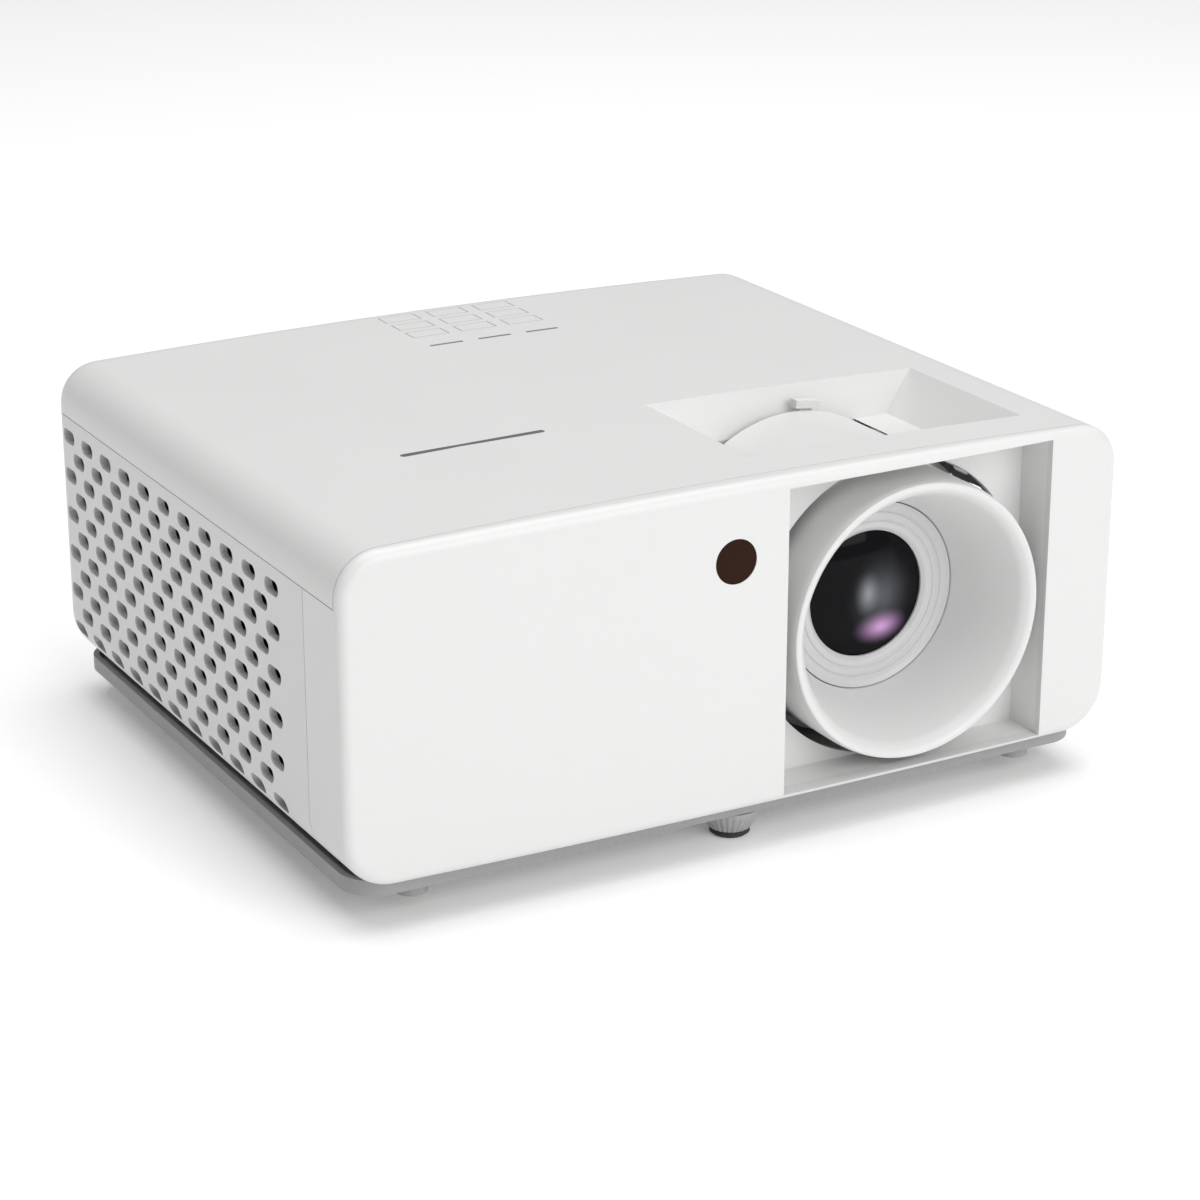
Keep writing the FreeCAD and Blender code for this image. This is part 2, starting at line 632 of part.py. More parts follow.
def make_bottom_case():
    """White skirt and floor with its posts, standoffs and the laps behind the side panels."""
    skirt_zone = block("skirt_zone", (-FAR, FAR), (fascia_back + d.seam, FAR), (-FAR, skirt_top))
    lap_zone = block("skirt_lap_zone", (-FAR, FAR), (band_back + 2, FAR),
                     (floor_top + d.tongue, skirt_top + d.tongue_lap))
    parts = [common("skirt_skin", shell, skirt_zone), common("skirt_lap", lining, lap_zone)]
    for i, spot in enumerate(post_spots):
        parts.append(rod("case_post_%d" % i, d.post_radius, "z", floor_top - 1, d.post_joint, spot))
    for side, y in fan_centres.items():
        parts.append(block(side + "_fan_rest", (d.fan_left + 6, d.fan_left + d.fan_depth - 3),
                           (y - 30, y + 30), (floor_top - 1, fan_bottom)))
    for i, (x, y) in enumerate(board_corners()):
        parts.append(rod("board_rest_%d" % i, 3, "z", floor_top - 1, d.main_height, (x, y)))
    for i, (x, y) in enumerate(supply_corners()):
        parts.append(rod("supply_rest_%d" % i, 3, "z", floor_top - 1, d.supply_height, (x, y)))
    parts.append(centred_block("inlet_rest", d.inlet_x, half_depth - d.inlet_depth / 2 - 3,
                               floor_top - 1, d.inlet_width - 6, 8, d.inlet_bottom - floor_top + 1))
    for name, spot in foot_spots.items():
        parts.append(rod(name + "_collar", d.foot_bush_radius + d.foot_collar, "z", floor_top - 1, bush_top,
                         spot))
    holes = [barrel_opening("case_relief", bay_back, recess_back_low()),
             block("bay_notch", (bay_left_wall, bay_right_wall), (front_face, bay_back),
                   (d.base_height - 1, floor_top + 1))]
    for i, spot in enumerate(post_spots):
        holes.append(rod("case_screw_way_%d" % i, d.screw_radius, "z", d.base_height - 1,
                         d.post_joint + 1, spot))
    for name, spot in foot_spots.items():
        holes.append(rod(name + "_bush_way", d.foot_bush_radius, "z", d.base_height - 1,
                         bush_top + 1, spot))
    return piece(cut("bottom_case", fuse("case_whole", *parts), *holes), "bottom_case")


def board_corners():
    """Standoffs under the corners of the main board."""
    edge = 5
    return [(x, y) for x in (d.main_left + edge, d.main_right - edge)
            for y in (d.main_front + edge, d.main_rear - edge)]


def supply_corners():
    edge = 5
    return [(x, y) for x in (d.supply_left + edge, d.supply_right - edge)
            for y in (d.supply_front + edge, d.supply_rear - edge)]


make_bottom_case()


def make_base_pan():
    """Grey tray under the housing, with a boss round every screw, bush and ceiling insert."""
    x, y = half_width - d.pan_inset, half_depth - d.pan_inset
    tray = padded("pan_tray", "XY", rectangle((-x, x), (-y, y)), pan_bottom, pan_top)
    round_edges(tray, lambda e: runs_along(e, "z"), d.pan_corner)
    floor = doc.addObject("PartDesign::Body", "pan_hollow")
    inner_x, inner_y = x - d.pan_sheet, y - d.pan_sheet
    sketch = new_sketch(floor, "XY", pan_bottom + d.pan_sheet)
    outline(sketch, rectangle((-inner_x, inner_x), (-inner_y, inner_y)))
    pad = floor.newObject("PartDesign::Pad", "pan_hollow_pad")
    pad.Profile = sketch
    bind(pad, Length=d.pan_height)
    round_edges(floor, lambda e: runs_along(e, "z"), d.pan_corner - d.pan_sheet)
    bosses, ways = [], []
    for i, spot in enumerate(post_spots):
        bosses.append(rod("pan_boss_%d" % i, d.post_radius, "z", pan_bottom, pan_top, spot))
        ways.append(rod("pan_screw_way_%d" % i, d.screw_radius, "z", pan_bottom - 1, pan_top + 1, spot))
        ways.append(rod("pan_head_way_%d" % i, d.screw_head_radius, "z", pan_bottom - 1,
                        pan_bottom + d.screw_head_height, spot))
    for i, spot in enumerate(mount_spots):
        bosses.append(rod("mount_boss_%d" % i, d.boss_radius, "z", pan_bottom - d.boss_drop,
                          pan_top, spot))
        ways.append(rod("mount_way_%d" % i, d.insert_radius, "z", pan_bottom - d.boss_drop - 1,
                        pan_top + 1, spot))
    for name, spot in foot_spots.items():
        bosses.append(rod(name + "_pan_boss", d.foot_bush_radius + d.foot_collar, "z", pan_bottom, pan_top, spot))
        ways.append(rod(name + "_pan_way", d.foot_bush_radius, "z", pan_bottom - 1, pan_top + 1, spot))
    hollow = cut("pan_shell", tray, floor)
    return piece(cut("base_pan", fuse("pan_whole", hollow, *bosses), *ways), "base_pan")


make_base_pan()


# ---------------------------------------------------------------- lens bay and front eye

def make_lens_bay():
    """Square pocket round the hood: three walls and a pierced floor, closed above by the cover."""
    raw = common("bay_outer", block("bay_block", (bay_left_wall, bay_right_wall),
                                    (front_face + d.wall, bay_back), (d.base_height, top_edge)), form)
    pocket = block("bay_space", (d.bay_left, d.bay_right), (-FAR, bay_pocket), (bay_low, FAR))
    lid = common("bay_lid", shell, block("bay_lid_zone", (-FAR, FAR), (-FAR, 0), (side_top, FAR)))
    trimmed = cut("bay_trimmed", cut("bay_walls", raw, pocket), lid)
    fitted = cut("bay_fitted", trimmed, front_panel)
    return piece(cut("lens_bay", fitted, barrel_opening("bay_opening", -FAR, 0)), "lens_bay")


make_lens_bay()

eye_back = front_face + d.wall + 1.5
piece(turned("ir_window", "y", [
    (0, front_face + 0.3), (d.eye_radius, front_face + 0.3), (d.eye_radius, front_face + d.wall + 0.4),
    (d.eye_flange, front_face + d.wall + 0.4), (d.eye_flange, eye_back), (0, eye_back)],
    (d.eye_x, 0, d.eye_height)), "ir_window")
eye_board_front = eye_back + 5
eye_sensor = rod("eye_sensor", 4, "y", eye_back, eye_board_front, (d.eye_x, d.eye_height))
eye_board = block("eye_board", (d.eye_x - 10, d.eye_x + 10), (eye_board_front, eye_board_front + d.board),
                  (d.eye_height - 10, d.eye_height + 10))
piece(fuse("ir_sensor_board", eye_board, eye_sensor), "ir_sensor_board")


# ---------------------------------------------------------------- indicator lights, keys, keypad

board_face = d.keypad_height + d.board
lights = []
for side, step in light_shift.items():
    rough = centred_block(side + "_light_pipe", d.key_x + step * d.key_pitch_x, d.light_y,
                          board_face, d.light_length, d.light_width, 30)
    lights.append(common(side + "_light", rough, form))
piece(fuse("indicator_lenses", *lights), "indicator_lenses")

switch_tops = []
for name, step in key_grid.items():
    x, y = key_spot(step)
    cap_foot = top_edge - d.wall - 1.6 - d.key_travel
    cap = common(name + "_cap", centred_block(name + "_block", x, y, cap_foot, d.key_length,
                                              d.key_width, 30), form)
    rim = centred_block(name + "_rim", x, y, cap_foot, d.key_length + 2, d.key_width + 2, 1.2)
    stem = rod(name + "_stem", 1.5, "z", board_face + d.switch_height + d.key_travel + 0.1,
               cap_foot + 1, (x, y))
    piece(fuse(name, cap, rim, stem), name)
    switch_tops.append(centred_block(name + "_switch", x, y, board_face, 6, 6, d.switch_height))
keypad_plate = block("keypad_plate", (d.key_x - d.key_pitch_x * 1.5 - 6, d.key_x + d.key_pitch_x * 1.5 + 6),
                     (d.light_y - 4, d.key_y + 17), (d.keypad_height, board_face))
piece(fuse("keypad_board", keypad_plate, *switch_tops), "keypad_board")


# ---------------------------------------------------------------- feet, bushes, inserts, screws

for name, spot in foot_spots.items():
    tip = d.foot_pad_height
    top = pan_bottom - d.foot_gap
    rise = bush_top + d.foot_screw_rise
    bore = d.foot_pin_radius + d.running_gap
    piece(turned(name + "_screw", "z", [
        (bore, tip + d.running_gap), (d.foot_tip_radius, tip + d.running_gap),
        (d.foot_radius, top - 1.5), (d.foot_radius, top),
        (d.foot_screw_radius, top), (d.foot_screw_radius, rise - 1), (d.foot_screw_radius - 1, rise),
        (0, rise), (0, top), (bore, top)], (*spot, 0)), name + "_screw")
    piece(turned(name + "_pad", "z", [
        (0, 0), (d.foot_pad_radius - 1, 0), (d.foot_pad_radius, 0.8), (d.foot_pad_radius, tip),
        (d.foot_pin_radius, tip), (d.foot_pin_radius, top - 1), (0, top - 1)], (*spot, 0)),
        name + "_pad")

bushes = [turned(name + "_bush", "z", [
    (d.foot_screw_radius + d.running_gap, pan_bottom + 0.4), (d.foot_bush_radius, pan_bottom + 0.4),
    (d.foot_bush_radius, bush_top), (d.foot_screw_radius + d.running_gap, bush_top)],
    (*spot, 0)) for name, spot in foot_spots.items()]
piece(fuse("foot_bushes", *bushes), "foot_bushes")

inserts = [turned("mount_insert_%d" % i, "z", [
    (d.insert_bore, pan_bottom - d.boss_drop), (d.insert_radius, pan_bottom - d.boss_drop),
    (d.insert_radius, pan_top), (d.insert_bore, pan_top)], (*spot, 0))
    for i, spot in enumerate(mount_spots)]
piece(fuse("ceiling_mount_inserts", *inserts), "ceiling_mount_inserts")

screws = [turned("case_screw_%d" % i, "z", [
    (0, pan_bottom + 0.6), (d.screw_head_radius, pan_bottom + 0.6),
    (d.screw_head_radius, pan_bottom + d.screw_head_height),
    (d.screw_radius, pan_bottom + d.screw_head_height),
    (d.screw_radius, d.post_joint + d.screw_reach - 1), (0, d.post_joint + d.screw_reach)],
    (*spot, 0)) for i, spot in enumerate(post_spots)]
piece(fuse("case_screws", *screws), "case_screws")


# ---------------------------------------------------------------- lens

def lens_element(name, radius, front, edge, bow, rear_bow):
    """A glass element: an edge band between a front dome and a rear face, both eased in steps."""
    back = front + edge
    return piece(turned(name, "y", [
        (0, front - bow), (radius * 0.4, front - bow * 0.84), (radius * 0.7, front - bow * 0.51),
        (radius, front), (radius, back), (radius * 0.7, back + rear_bow * 0.51),
        (radius * 0.4, back + rear_bow * 0.84), (0, back + rear_bow)], lens_at), name)


gap = d.running_gap
seat = d.front_cell_front + 1
seat_back = seat + d.front_glass_edge
piece(turned("lens_barrel", "y", [
    (d.barrel_bore + gap, d.barrel_front), (d.barrel_radius, d.barrel_front),
    (d.barrel_radius, d.flange_front), (d.flange_radius, d.flange_front),
    (d.flange_radius, d.flange_back), (d.rear_glass_radius, d.flange_back),
    (d.rear_glass_radius, d.rear_glass_front - 2), (d.barrel_bore + gap, d.rear_glass_front - 2)],
    lens_at), "lens_barrel")
piece(turned("focus_ring", "y", [
    (d.hood_mouth, d.hood_front + 0.8), (d.hood_mouth + 0.9, d.hood_front),
    (d.hood_radius - 1, d.hood_front), (d.hood_radius, d.hood_front + d.lip),
    (d.hood_radius, d.drum_front - 1), (d.drum_radius, d.drum_front + 0.6),
    (d.drum_radius, d.drum_back - 0.8), (d.drum_radius - 0.8, d.drum_back),
    (d.drum_radius - d.drum_wall, d.drum_back), (d.drum_radius - d.drum_wall, d.drum_front + 5),
    (d.hub_radius, d.drum_front + 5), (d.hub_radius, d.hub_back),
    (d.barrel_radius + gap, d.hub_back), (d.barrel_radius + gap, d.barrel_front - 1),
    (d.hood_throat, d.barrel_front - 1), (d.hood_throat, d.throat_y)], lens_at), "focus_ring")
piece(turned("focus_cell", "y", [
    (d.front_glass_radius, seat), (d.barrel_bore, seat), (d.barrel_bore, d.front_cell_back),
    (d.barrel_bore - d.cell_wall, d.front_cell_back), (d.barrel_bore - d.cell_wall, seat_back + 4),
    (d.front_glass_radius - 2, seat_back + 4), (d.front_glass_radius - 2, seat_back),
    (d.front_glass_radius, seat_back)], lens_at), "focus_cell")
piece(turned("lens_retainer", "y", [
    (d.front_glass_radius - 0.8, seat - 0.6), (d.front_glass_radius + 0.6, seat - 1.8),
    (d.barrel_bore - 1, seat - 1.8), (d.barrel_bore - 0.2, seat - 1), (d.barrel_bore - 0.2, seat),
    (d.front_glass_radius - 0.8, seat)], lens_at), "lens_retainer")
lens_element("front_lens", d.front_glass_radius - 0.8, seat, d.front_glass_edge,
             d.front_glass_bow, -d.front_glass_bow / 2)
zoom_bore = d.barrel_bore - d.cell_wall
piece(turned("zoom_cell", "y", [
    (zoom_bore, d.zoom_cell_front), (d.barrel_bore, d.zoom_cell_front),
    (d.barrel_bore, d.zoom_cell_back), (zoom_bore, d.zoom_cell_back)], lens_at), "zoom_cell")
lens_element("zoom_lens", zoom_bore, d.zoom_cell_front + 5, d.zoom_glass_edge, d.zoom_glass_bow,
             d.zoom_glass_bow / 2)
lens_element("rear_lens", d.rear_glass_radius, d.rear_glass_front, d.rear_glass_edge, as_size(0),
             d.rear_glass_bow)


def make_zoom_ring():
    """Zoom ring with the stem that rises behind the focus ring and the nub that a finger moves."""
    ring = turned("zoom_band", "y", [
        (d.barrel_radius + gap, d.zoom_ring_front), (d.zoom_ring_radius, d.zoom_ring_front),
        (d.zoom_ring_radius, d.zoom_ring_back), (d.barrel_radius + gap, d.zoom_ring_back)])
    nub_low = d.drum_radius + d.zoom_nub_gap
    stem_middle = d.zoom_ring_front + d.zoom_stem / 2
    stem = block("zoom_stem", (-d.zoom_stem_width / 2, d.zoom_stem_width / 2),
                 (d.zoom_ring_front, d.zoom_ring_front + d.zoom_stem),
                 (d.zoom_ring_radius - 2, nub_low + 1))
    nub = centred_block("zoom_nub", as_size(0), stem_middle, nub_low, d.zoom_nub_width,
                        d.zoom_nub_depth, d.zoom_nub_height)
    whole = fuse("zoom_ring", ring, stem, nub)
    place(whole, *lens_at, turn=(FreeCAD.Vector(0, 1, 0), d.zoom_rest_angle.value))
    return piece(whole, "zoom_ring")


make_zoom_ring()


# ---------------------------------------------------------------- light engine

light_y = d.tunnel_y
light_z = lens_height


def make_engine_housing():
    """Open box on four legs with a prism pedestal, a tunnel cradle and three light ports."""
    x, y, z = ((d.engine_left, d.engine_right), (d.flange_back, d.engine_back),
               (d.engine_bottom, d.engine_top))
    outer = block("engine_outer", x, y, z)
    inner = block("engine_inner", (x[0] + d.engine_wall, x[1] - d.engine_wall),
                  (y[0] + d.engine_wall, y[1] - d.engine_wall), (z[0] + d.engine_wall, z[1] + 1))
    legs = [block("engine_leg_%d" % i, (leg_x, leg_x + 8), (leg_y, leg_y + 8),
                  (sink_deck, d.engine_bottom + 1))
            for i, (leg_x, leg_y) in enumerate((a, b) for a in (x[0] + 2, x[1] - 10)
                                               for b in (y[0] + 2, y[1] - 10))]
    floor = z[0] + d.engine_wall - 1
    half = d.prism_side / 2
    pedestal = block("prism_pedestal", (d.lens_x - half, d.lens_x + half),
                     (light_y - half, light_y + half), (floor, light_z - half))
    cradle = block("tunnel_cradle", (d.tunnel_left + 4, d.tunnel_right - 4),
                   (light_y - d.tunnel_side / 2, light_y + d.tunnel_side / 2),
                   (floor, light_z - d.tunnel_side / 2))
    ports = [lens_port("engine_front_port", d.rear_glass_radius, y[0] - 1, y[0] + d.engine_wall + 1),
             rod("engine_side_port", d.tunnel_side / 2, "x", x[0] - 1, x[0] + d.engine_wall + 1,
                 (light_y, light_z)),
             block("chip_port", chip_window(0.2)[0], (y[1] - d.engine_wall - 1, y[1] + 1),
                   chip_window(0.2)[1])]
    return piece(cut("engine_housing", fuse("engine_whole", cut("engine_box", outer, inner), *legs,
                                            pedestal, cradle), *ports), "engine_housing")


def lens_port(name, radius, start, end):
    return rod(name, radius, "y", start, end, (d.lens_x, lens_height))


def chip_window(margin):
    """Width and height ranges of the imaging chip's window."""
    return ((d.lens_x - 10.5 - margin, d.lens_x + 10.5 + margin),
            (light_z - 7.5 - margin, light_z + 7.5 + margin))


make_engine_housing()
engine_span = ((d.engine_left, d.engine_right), (d.flange_back, d.engine_back))
piece(block("engine_lid", *engine_span, (d.engine_top, d.engine_top + 2)), "engine_lid")
half_prism = d.prism_side / 2
piece(padded("prism", "XY", [
    (d.lens_x - half_prism, light_y - half_prism), (d.lens_x + half_prism, light_y - half_prism),
    (d.lens_x + half_prism, light_y + half_prism / 2),
    (d.lens_x + half_prism / 2, light_y + half_prism), (d.lens_x - half_prism, light_y + half_prism)],
    light_z - half_prism, light_z + half_prism), "prism")


def tube_section(name, side):
    half = side / 2
    return block(name, (d.tunnel_left, d.tunnel_right), (light_y - half, light_y + half),
                 (light_z - half, light_z + half))


tunnel_hole = tube_section("tunnel_hole", d.tunnel_side - 2 * d.tunnel_wall)
piece(cut("light_tunnel", tube_section("tunnel_bar", d.tunnel_side), tunnel_hole), "light_tunnel")

wheel_z = light_z - d.wheel_drop
motor_right = d.wheel_x - 1.3
piece(turned("phosphor_wheel", "x", [
    (0, motor_right - d.motor_length + 3), (d.shaft_radius, motor_right - d.motor_length + 3),
    (d.shaft_radius, motor_right + 0.3), (6, motor_right + 0.3), (6, d.wheel_x),
    (d.wheel_radius, d.wheel_x), (d.wheel_radius, d.wheel_x + d.wheel_thickness),
    (6, d.wheel_x + d.wheel_thickness), (5, d.wheel_x + 3), (0, d.wheel_x + 3)],
    (0, light_y, wheel_z)), "phosphor_wheel")
motor_core = turned("motor_core", "x", [
    (d.shaft_radius + gap, motor_right - d.motor_length + 2), (d.shaft_radius + gap, motor_right),
    (d.motor_radius, motor_right), (d.motor_radius, motor_right - d.motor_length),
    (0, motor_right - d.motor_length), (0, motor_right - d.motor_length + 2)],
    (0, light_y, wheel_z))
motor_foot = cut("motor_foot", block(
    "motor_foot_block", (motor_right - d.motor_length, motor_right - 2), (light_y - 8, light_y + 8),
    (sink_deck, wheel_z)), rod("motor_foot_way", d.motor_radius - 1, "x",
                               motor_right - d.motor_length - 1, motor_right, (light_y, wheel_z)))
piece(fuse("wheel_motor", motor_core, motor_foot), "wheel_motor")

laser_left = d.laser_right - d.laser_depth
diodes = [rod("diode_%d" % i, d.diode_radius, "x", d.laser_right - 1, d.laser_right + d.diode_reach,
              (y, z)) for i, (y, z) in enumerate((light_y + a * 14, light_z + b * 14)
                                                 for a in (-1, 0, 1) for b in (-1, 0, 1))]
piece(fuse("laser_module",
           block("laser_block", (laser_left, d.laser_right), (d.laser_low_y, d.laser_high_y),
                 (d.laser_bottom, d.laser_top)),
           block("laser_stand", (laser_left, d.laser_right - 2), (light_y - 14, light_y + 14),
                 (sink_deck, d.laser_bottom + 1)), *diodes), "laser_module")


def finned(name, plane, base, base_span, fin, fin_span, run_axis, run, pitch):
    """A heat sink: a padded base plate and a row of equal fins."""
    body = padded(name, plane, base, *base_span)
    sketch = new_sketch(body, plane, -fin_span[1] if plane == "XZ" else fin_span[0])
    outline(sketch, fin)
    pad = body.newObject("PartDesign::Pad", name + "_fin")
    pad.Profile = sketch
    bind(pad, Length=fin_span[1] - fin_span[0])
    row = body.newObject("PartDesign::LinearPattern", name + "_fins")
    row.Originals = [pad]
    row.Direction = (sketch, [run_axis])
    row.Mode = "Spacing"
    count = Size("floor(%s / %s)" % (run.formula, pitch.formula), run.value // pitch.value)
    bind(row, Offset=pitch, Occurrences=count)
    body.Tip = row
    return piece(body, name)


sink_right = laser_left - d.sink_plate
finned("laser_heatsink", "XY",
       rectangle((sink_right, laser_left), (d.sink_front, d.sink_rear)), (d.sink_bottom, d.sink_top),
       rectangle((d.sink_left, sink_right + 0.5), (d.sink_front, d.sink_front + d.fin_thickness)),
       (d.sink_bottom, d.sink_top), "V_Axis", d.sink_rear - d.sink_front, d.fin_pitch)

# ---------------------------------------------------------------- imaging chip, board, heat sink

flange_x, flange_z = chip_window(5)
chip_back = d.engine_back + d.chip_gap
piece(fuse("imaging_chip", block("chip_window", chip_window(0)[0], (d.chip_front, d.engine_back + 1),
                                 chip_window(0)[1]),
           block("chip_flange", flange_x, (d.engine_back, chip_back), flange_z)), "imaging_chip")
board_half = d.dmd_board_height / 2
dmd_back = chip_back + d.board
piece(block("chip_board", (d.lens_x - board_half, d.lens_x + board_half), (chip_back, dmd_back),
            (light_z - board_half, light_z + board_half)), "chip_board")
sink_half = d.dmd_sink_side / 2
finned("chip_heatsink", "XY",
       rectangle((d.lens_x - sink_half, d.lens_x + sink_half), (dmd_back, dmd_back + 5)),
       (light_z - sink_half, light_z + sink_half),
       rectangle((d.lens_x - sink_half, d.lens_x - sink_half + d.fin_thickness),
                 (dmd_back + 4.5, dmd_back + d.dmd_sink_depth)),
       (light_z - sink_half, light_z + sink_half), "H_Axis", d.dmd_sink_side, d.fin_pitch)


# ---------------------------------------------------------------- fans

def fan_frame(name, y):
    """Square frame with a round duct, a bearing disc on four struts and open corners."""
    x0, x1 = d.fan_left, d.fan_left + d.fan_depth
    half = d.fan_side / 2
    centre = (y, d.fan_height)
    frame = cut(name + "_frame", block(name + "_square", (x0, x1), (y - half, y + half),
                                       (d.fan_height - half, d.fan_height + half)),
                rod(name + "_duct", d.fan_bore, "x", x0 - 1, x1 + 1, centre))
    struts = [block(name + "_strut_a", (x1 - 3, x1), (y - d.fan_bore - 1, y + d.fan_bore + 1),
                    (d.fan_height - 2, d.fan_height + 2)),
              block(name + "_strut_b", (x1 - 3, x1), (y - 2, y + 2),
                    (d.fan_height - d.fan_bore - 1, d.fan_height + d.fan_bore + 1)),
              rod(name + "_disc", d.fan_hub - 1, "x", x1 - 3, x1, centre)]
    bearing = rod(name + "_bearing", d.shaft_radius + gap, "x", x1 - 4, x1 + 1, centre)
    return cut(name + "_whole", fuse(name + "_parts", frame, *struts), bearing)


def fan_rotor(name, y):
    """Hub cup with a stub shaft and a ring of slanted blades."""
    x0, x1 = d.fan_left + 4, d.fan_left + d.fan_depth - 4
    body = turned(name, "x", [(0, x0), (d.fan_hub - 2, x0), (d.fan_hub, x0 + 2), (d.fan_hub, x1),
                              (d.shaft_radius, x1), (d.shaft_radius, x1 + 3.5), (0, x1 + 3.5)],
                  (0, y, d.fan_height))
    sketch = new_sketch(body, "XY", d.fan_hub - 2.5)
    outline(sketch, [(x0 + 1, as_size(-6.5)), (x0 + 2.6, as_size(-6.5)), (x1 - 1, as_size(6.5)),
                     (x1 - 2.6, as_size(6.5))])
    pad = body.newObject("PartDesign::Pad", name + "_blade")
    pad.Profile = sketch
    bind(pad, Length=d.fan_tip - d.fan_hub + 2)
    ring = body.newObject("PartDesign::PolarPattern", name + "_blades")
    ring.Originals = [pad]
    ring.Axis = (sketch, ["H_Axis"])
    ring.Angle = 360
    bind(ring, Occurrences=d.blade_count)
    body.Tip = ring
    return piece(body, name)


piece(fuse("exhaust_fan_frames", *[fan_frame(side + "_fan", y) for side, y in fan_centres.items()]),
      "exhaust_fan_frames")
for side, y in fan_centres.items():
    fan_rotor(side + "_fan_rotor", y)


# ---------------------------------------------------------------- boards, sockets and speaker

deck = d.main_height + d.board
main_plate = block("main_plate", (d.main_left, d.main_right), (d.main_front, d.main_rear),
                   (d.main_height, deck))
chips = [centred_block("main_processor", d.main_left + 24, d.main_front + 14, deck - 0.1, 20, 18, 2.1),
         centred_block("main_memory", d.main_left + 50, d.main_front + 14, deck - 0.1, 12, 9, 1.3),
         centred_block("main_regulator", d.main_left + 74, d.main_front + 14, deck - 0.1, 14, 12, 5)]
piece(fuse("main_board", main_plate, *chips), "main_board")

socket_back = half_depth - d.socket_rear_gap


def socket(name, x, z, width, height, mouth_width, mouth_height, depth):
    """A metal or moulded socket shell, open to the rear."""
    body = block(name + "_shell", (x - width / 2, x + width / 2), (socket_back - depth, socket_back),
                 (z, z + height))
    middle = z + height / 2
    mouth = block(name + "_mouth", (x - mouth_width / 2, x + mouth_width / 2),
                  (socket_back - depth + 2, socket_back + 1),
                  (middle - mouth_height / 2, middle + mouth_height / 2))
    return cut(name, body, mouth)


faces = {face[0]: face[1:] for face in socket_faces()}
hdmi = [socket(name, *faces[name], d.hdmi_mouth_width, d.hdmi_mouth_height, d.hdmi_depth)
        for name in ("hdmi_1", "hdmi_2")]
piece(fuse("hdmi_sockets", *hdmi), "hdmi_sockets")
piece(socket("usb", *faces["usb"], d.usb_mouth_width, d.usb_mouth_height, d.hdmi_depth), "usb_socket")
jack_body = block("jack_body", (d.jack_x - d.jack_side / 2, d.jack_x + d.jack_side / 2),
                  (socket_back - d.hdmi_depth, socket_back), (deck, deck + d.jack_side))
jack_way = rod("jack_way", d.jack_bore, "y", socket_back - d.hdmi_depth + 1, socket_back + 1,
               (d.jack_x, deck + d.jack_side / 2))
piece(cut("audio_jack", jack_body, jack_way), "audio_jack")


def make_inlet():
    """Mains inlet: a deep socket with three flat pins standing in it."""
    x, z, width, height = faces["inlet"]
    middle = z + height / 2
    body = block("inlet_shell", (x - width / 2, x + width / 2), (socket_back - d.inlet_depth, socket_back),
                 (z, z + height))
    mouth = block("inlet_mouth", (x - d.inlet_mouth_width / 2, x + d.inlet_mouth_width / 2),
                  (socket_back - d.inlet_mouth_depth, socket_back + 1),
                  (middle - d.inlet_mouth_height / 2, middle + d.inlet_mouth_height / 2))
    floor = socket_back - d.inlet_mouth_depth
    pins = [centred_block("inlet_pin_%d" % i, x + shift, floor + 5, middle + drop - 2, 2, 12, 4)
            for i, (shift, drop) in enumerate(((-7, -2), (0, 2), (7, -2)))]
    return piece(fuse("mains_inlet", cut("inlet_body", body, mouth), *pins), "mains_inlet")


make_inlet()


def make_power_supply():
    """Power board with its transformer, storage capacitors, chokes and heat sink plates."""
    z = d.supply_height + d.board
    x, y = d.supply_left, d.supply_front
    plate = block("supply_plate", (x, d.supply_right), (y, d.supply_rear), (d.supply_height, z))
    low = z - 0.1
    parts = [centred_block("supply_transformer", x + 58, y + 34, low, 26, 22, 24),
             centred_block("supply_choke", x + 58, y + 12, low, 18, 14, 16),
             centred_block("supply_filter", x + 14, y + 12, low, 16, 14, 18),
             block("supply_fins_a", (x + 8, x + 11), (y + 22, y + 52), (low, z + 30)),
             block("supply_fins_b", (x + 74, x + 77), (y + 10, y + 50), (low, z + 26))]
    for i, (a, b) in enumerate(((26, 32), (26, 50), (40, 12))):
        parts.append(rod("supply_capacitor_%d" % i, 7, "z", low, z + 28, (x + a, y + b)))
    return piece(fuse("power_supply_board", plate, *parts), "power_supply_board")


make_power_supply()


def make_speaker():
    """Speaker box with a shallow cone and a dust cap that face the right side panel."""
    right = d.speaker_left + d.speaker_depth
    y, z = (d.speaker_front + d.speaker_rear) / 2, floor_top + d.speaker_tall / 2
    box = block("speaker_box", (d.speaker_left, right), (d.speaker_front, d.speaker_rear),
                (floor_top, floor_top + d.speaker_tall))
    cone = turned("speaker_cone", "x", [
        (0, right + 1), (d.cone_radius, right + 1), (d.cone_radius, right - 1.5), (9, right - 8),
        (8, right - 6.5), (5, right - 5), (0, right - 4.4)], (0, y, z))
    return piece(cut("speaker", box, cone), "speaker")


make_speaker()

# ---------------------------------------------------------------- check and write

doc.recompute()
failed = [thing.Name for thing in doc.Objects if {"Invalid", "Error"} & set(thing.State)]
failed += [thing.Label for thing in pieces if thing.Shape.isNull() or not thing.Shape.isValid()]
if failed:
    raise RuntimeError("these did not build: " + ", ".join(failed))
for thing in pieces:
    thing.Shape.exportStep("parts/%s.step" % thing.Label)
print("%d sub-parts written" % len(pieces))
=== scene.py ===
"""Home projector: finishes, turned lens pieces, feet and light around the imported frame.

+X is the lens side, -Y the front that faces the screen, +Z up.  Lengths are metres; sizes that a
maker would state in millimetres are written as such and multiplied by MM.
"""
import math

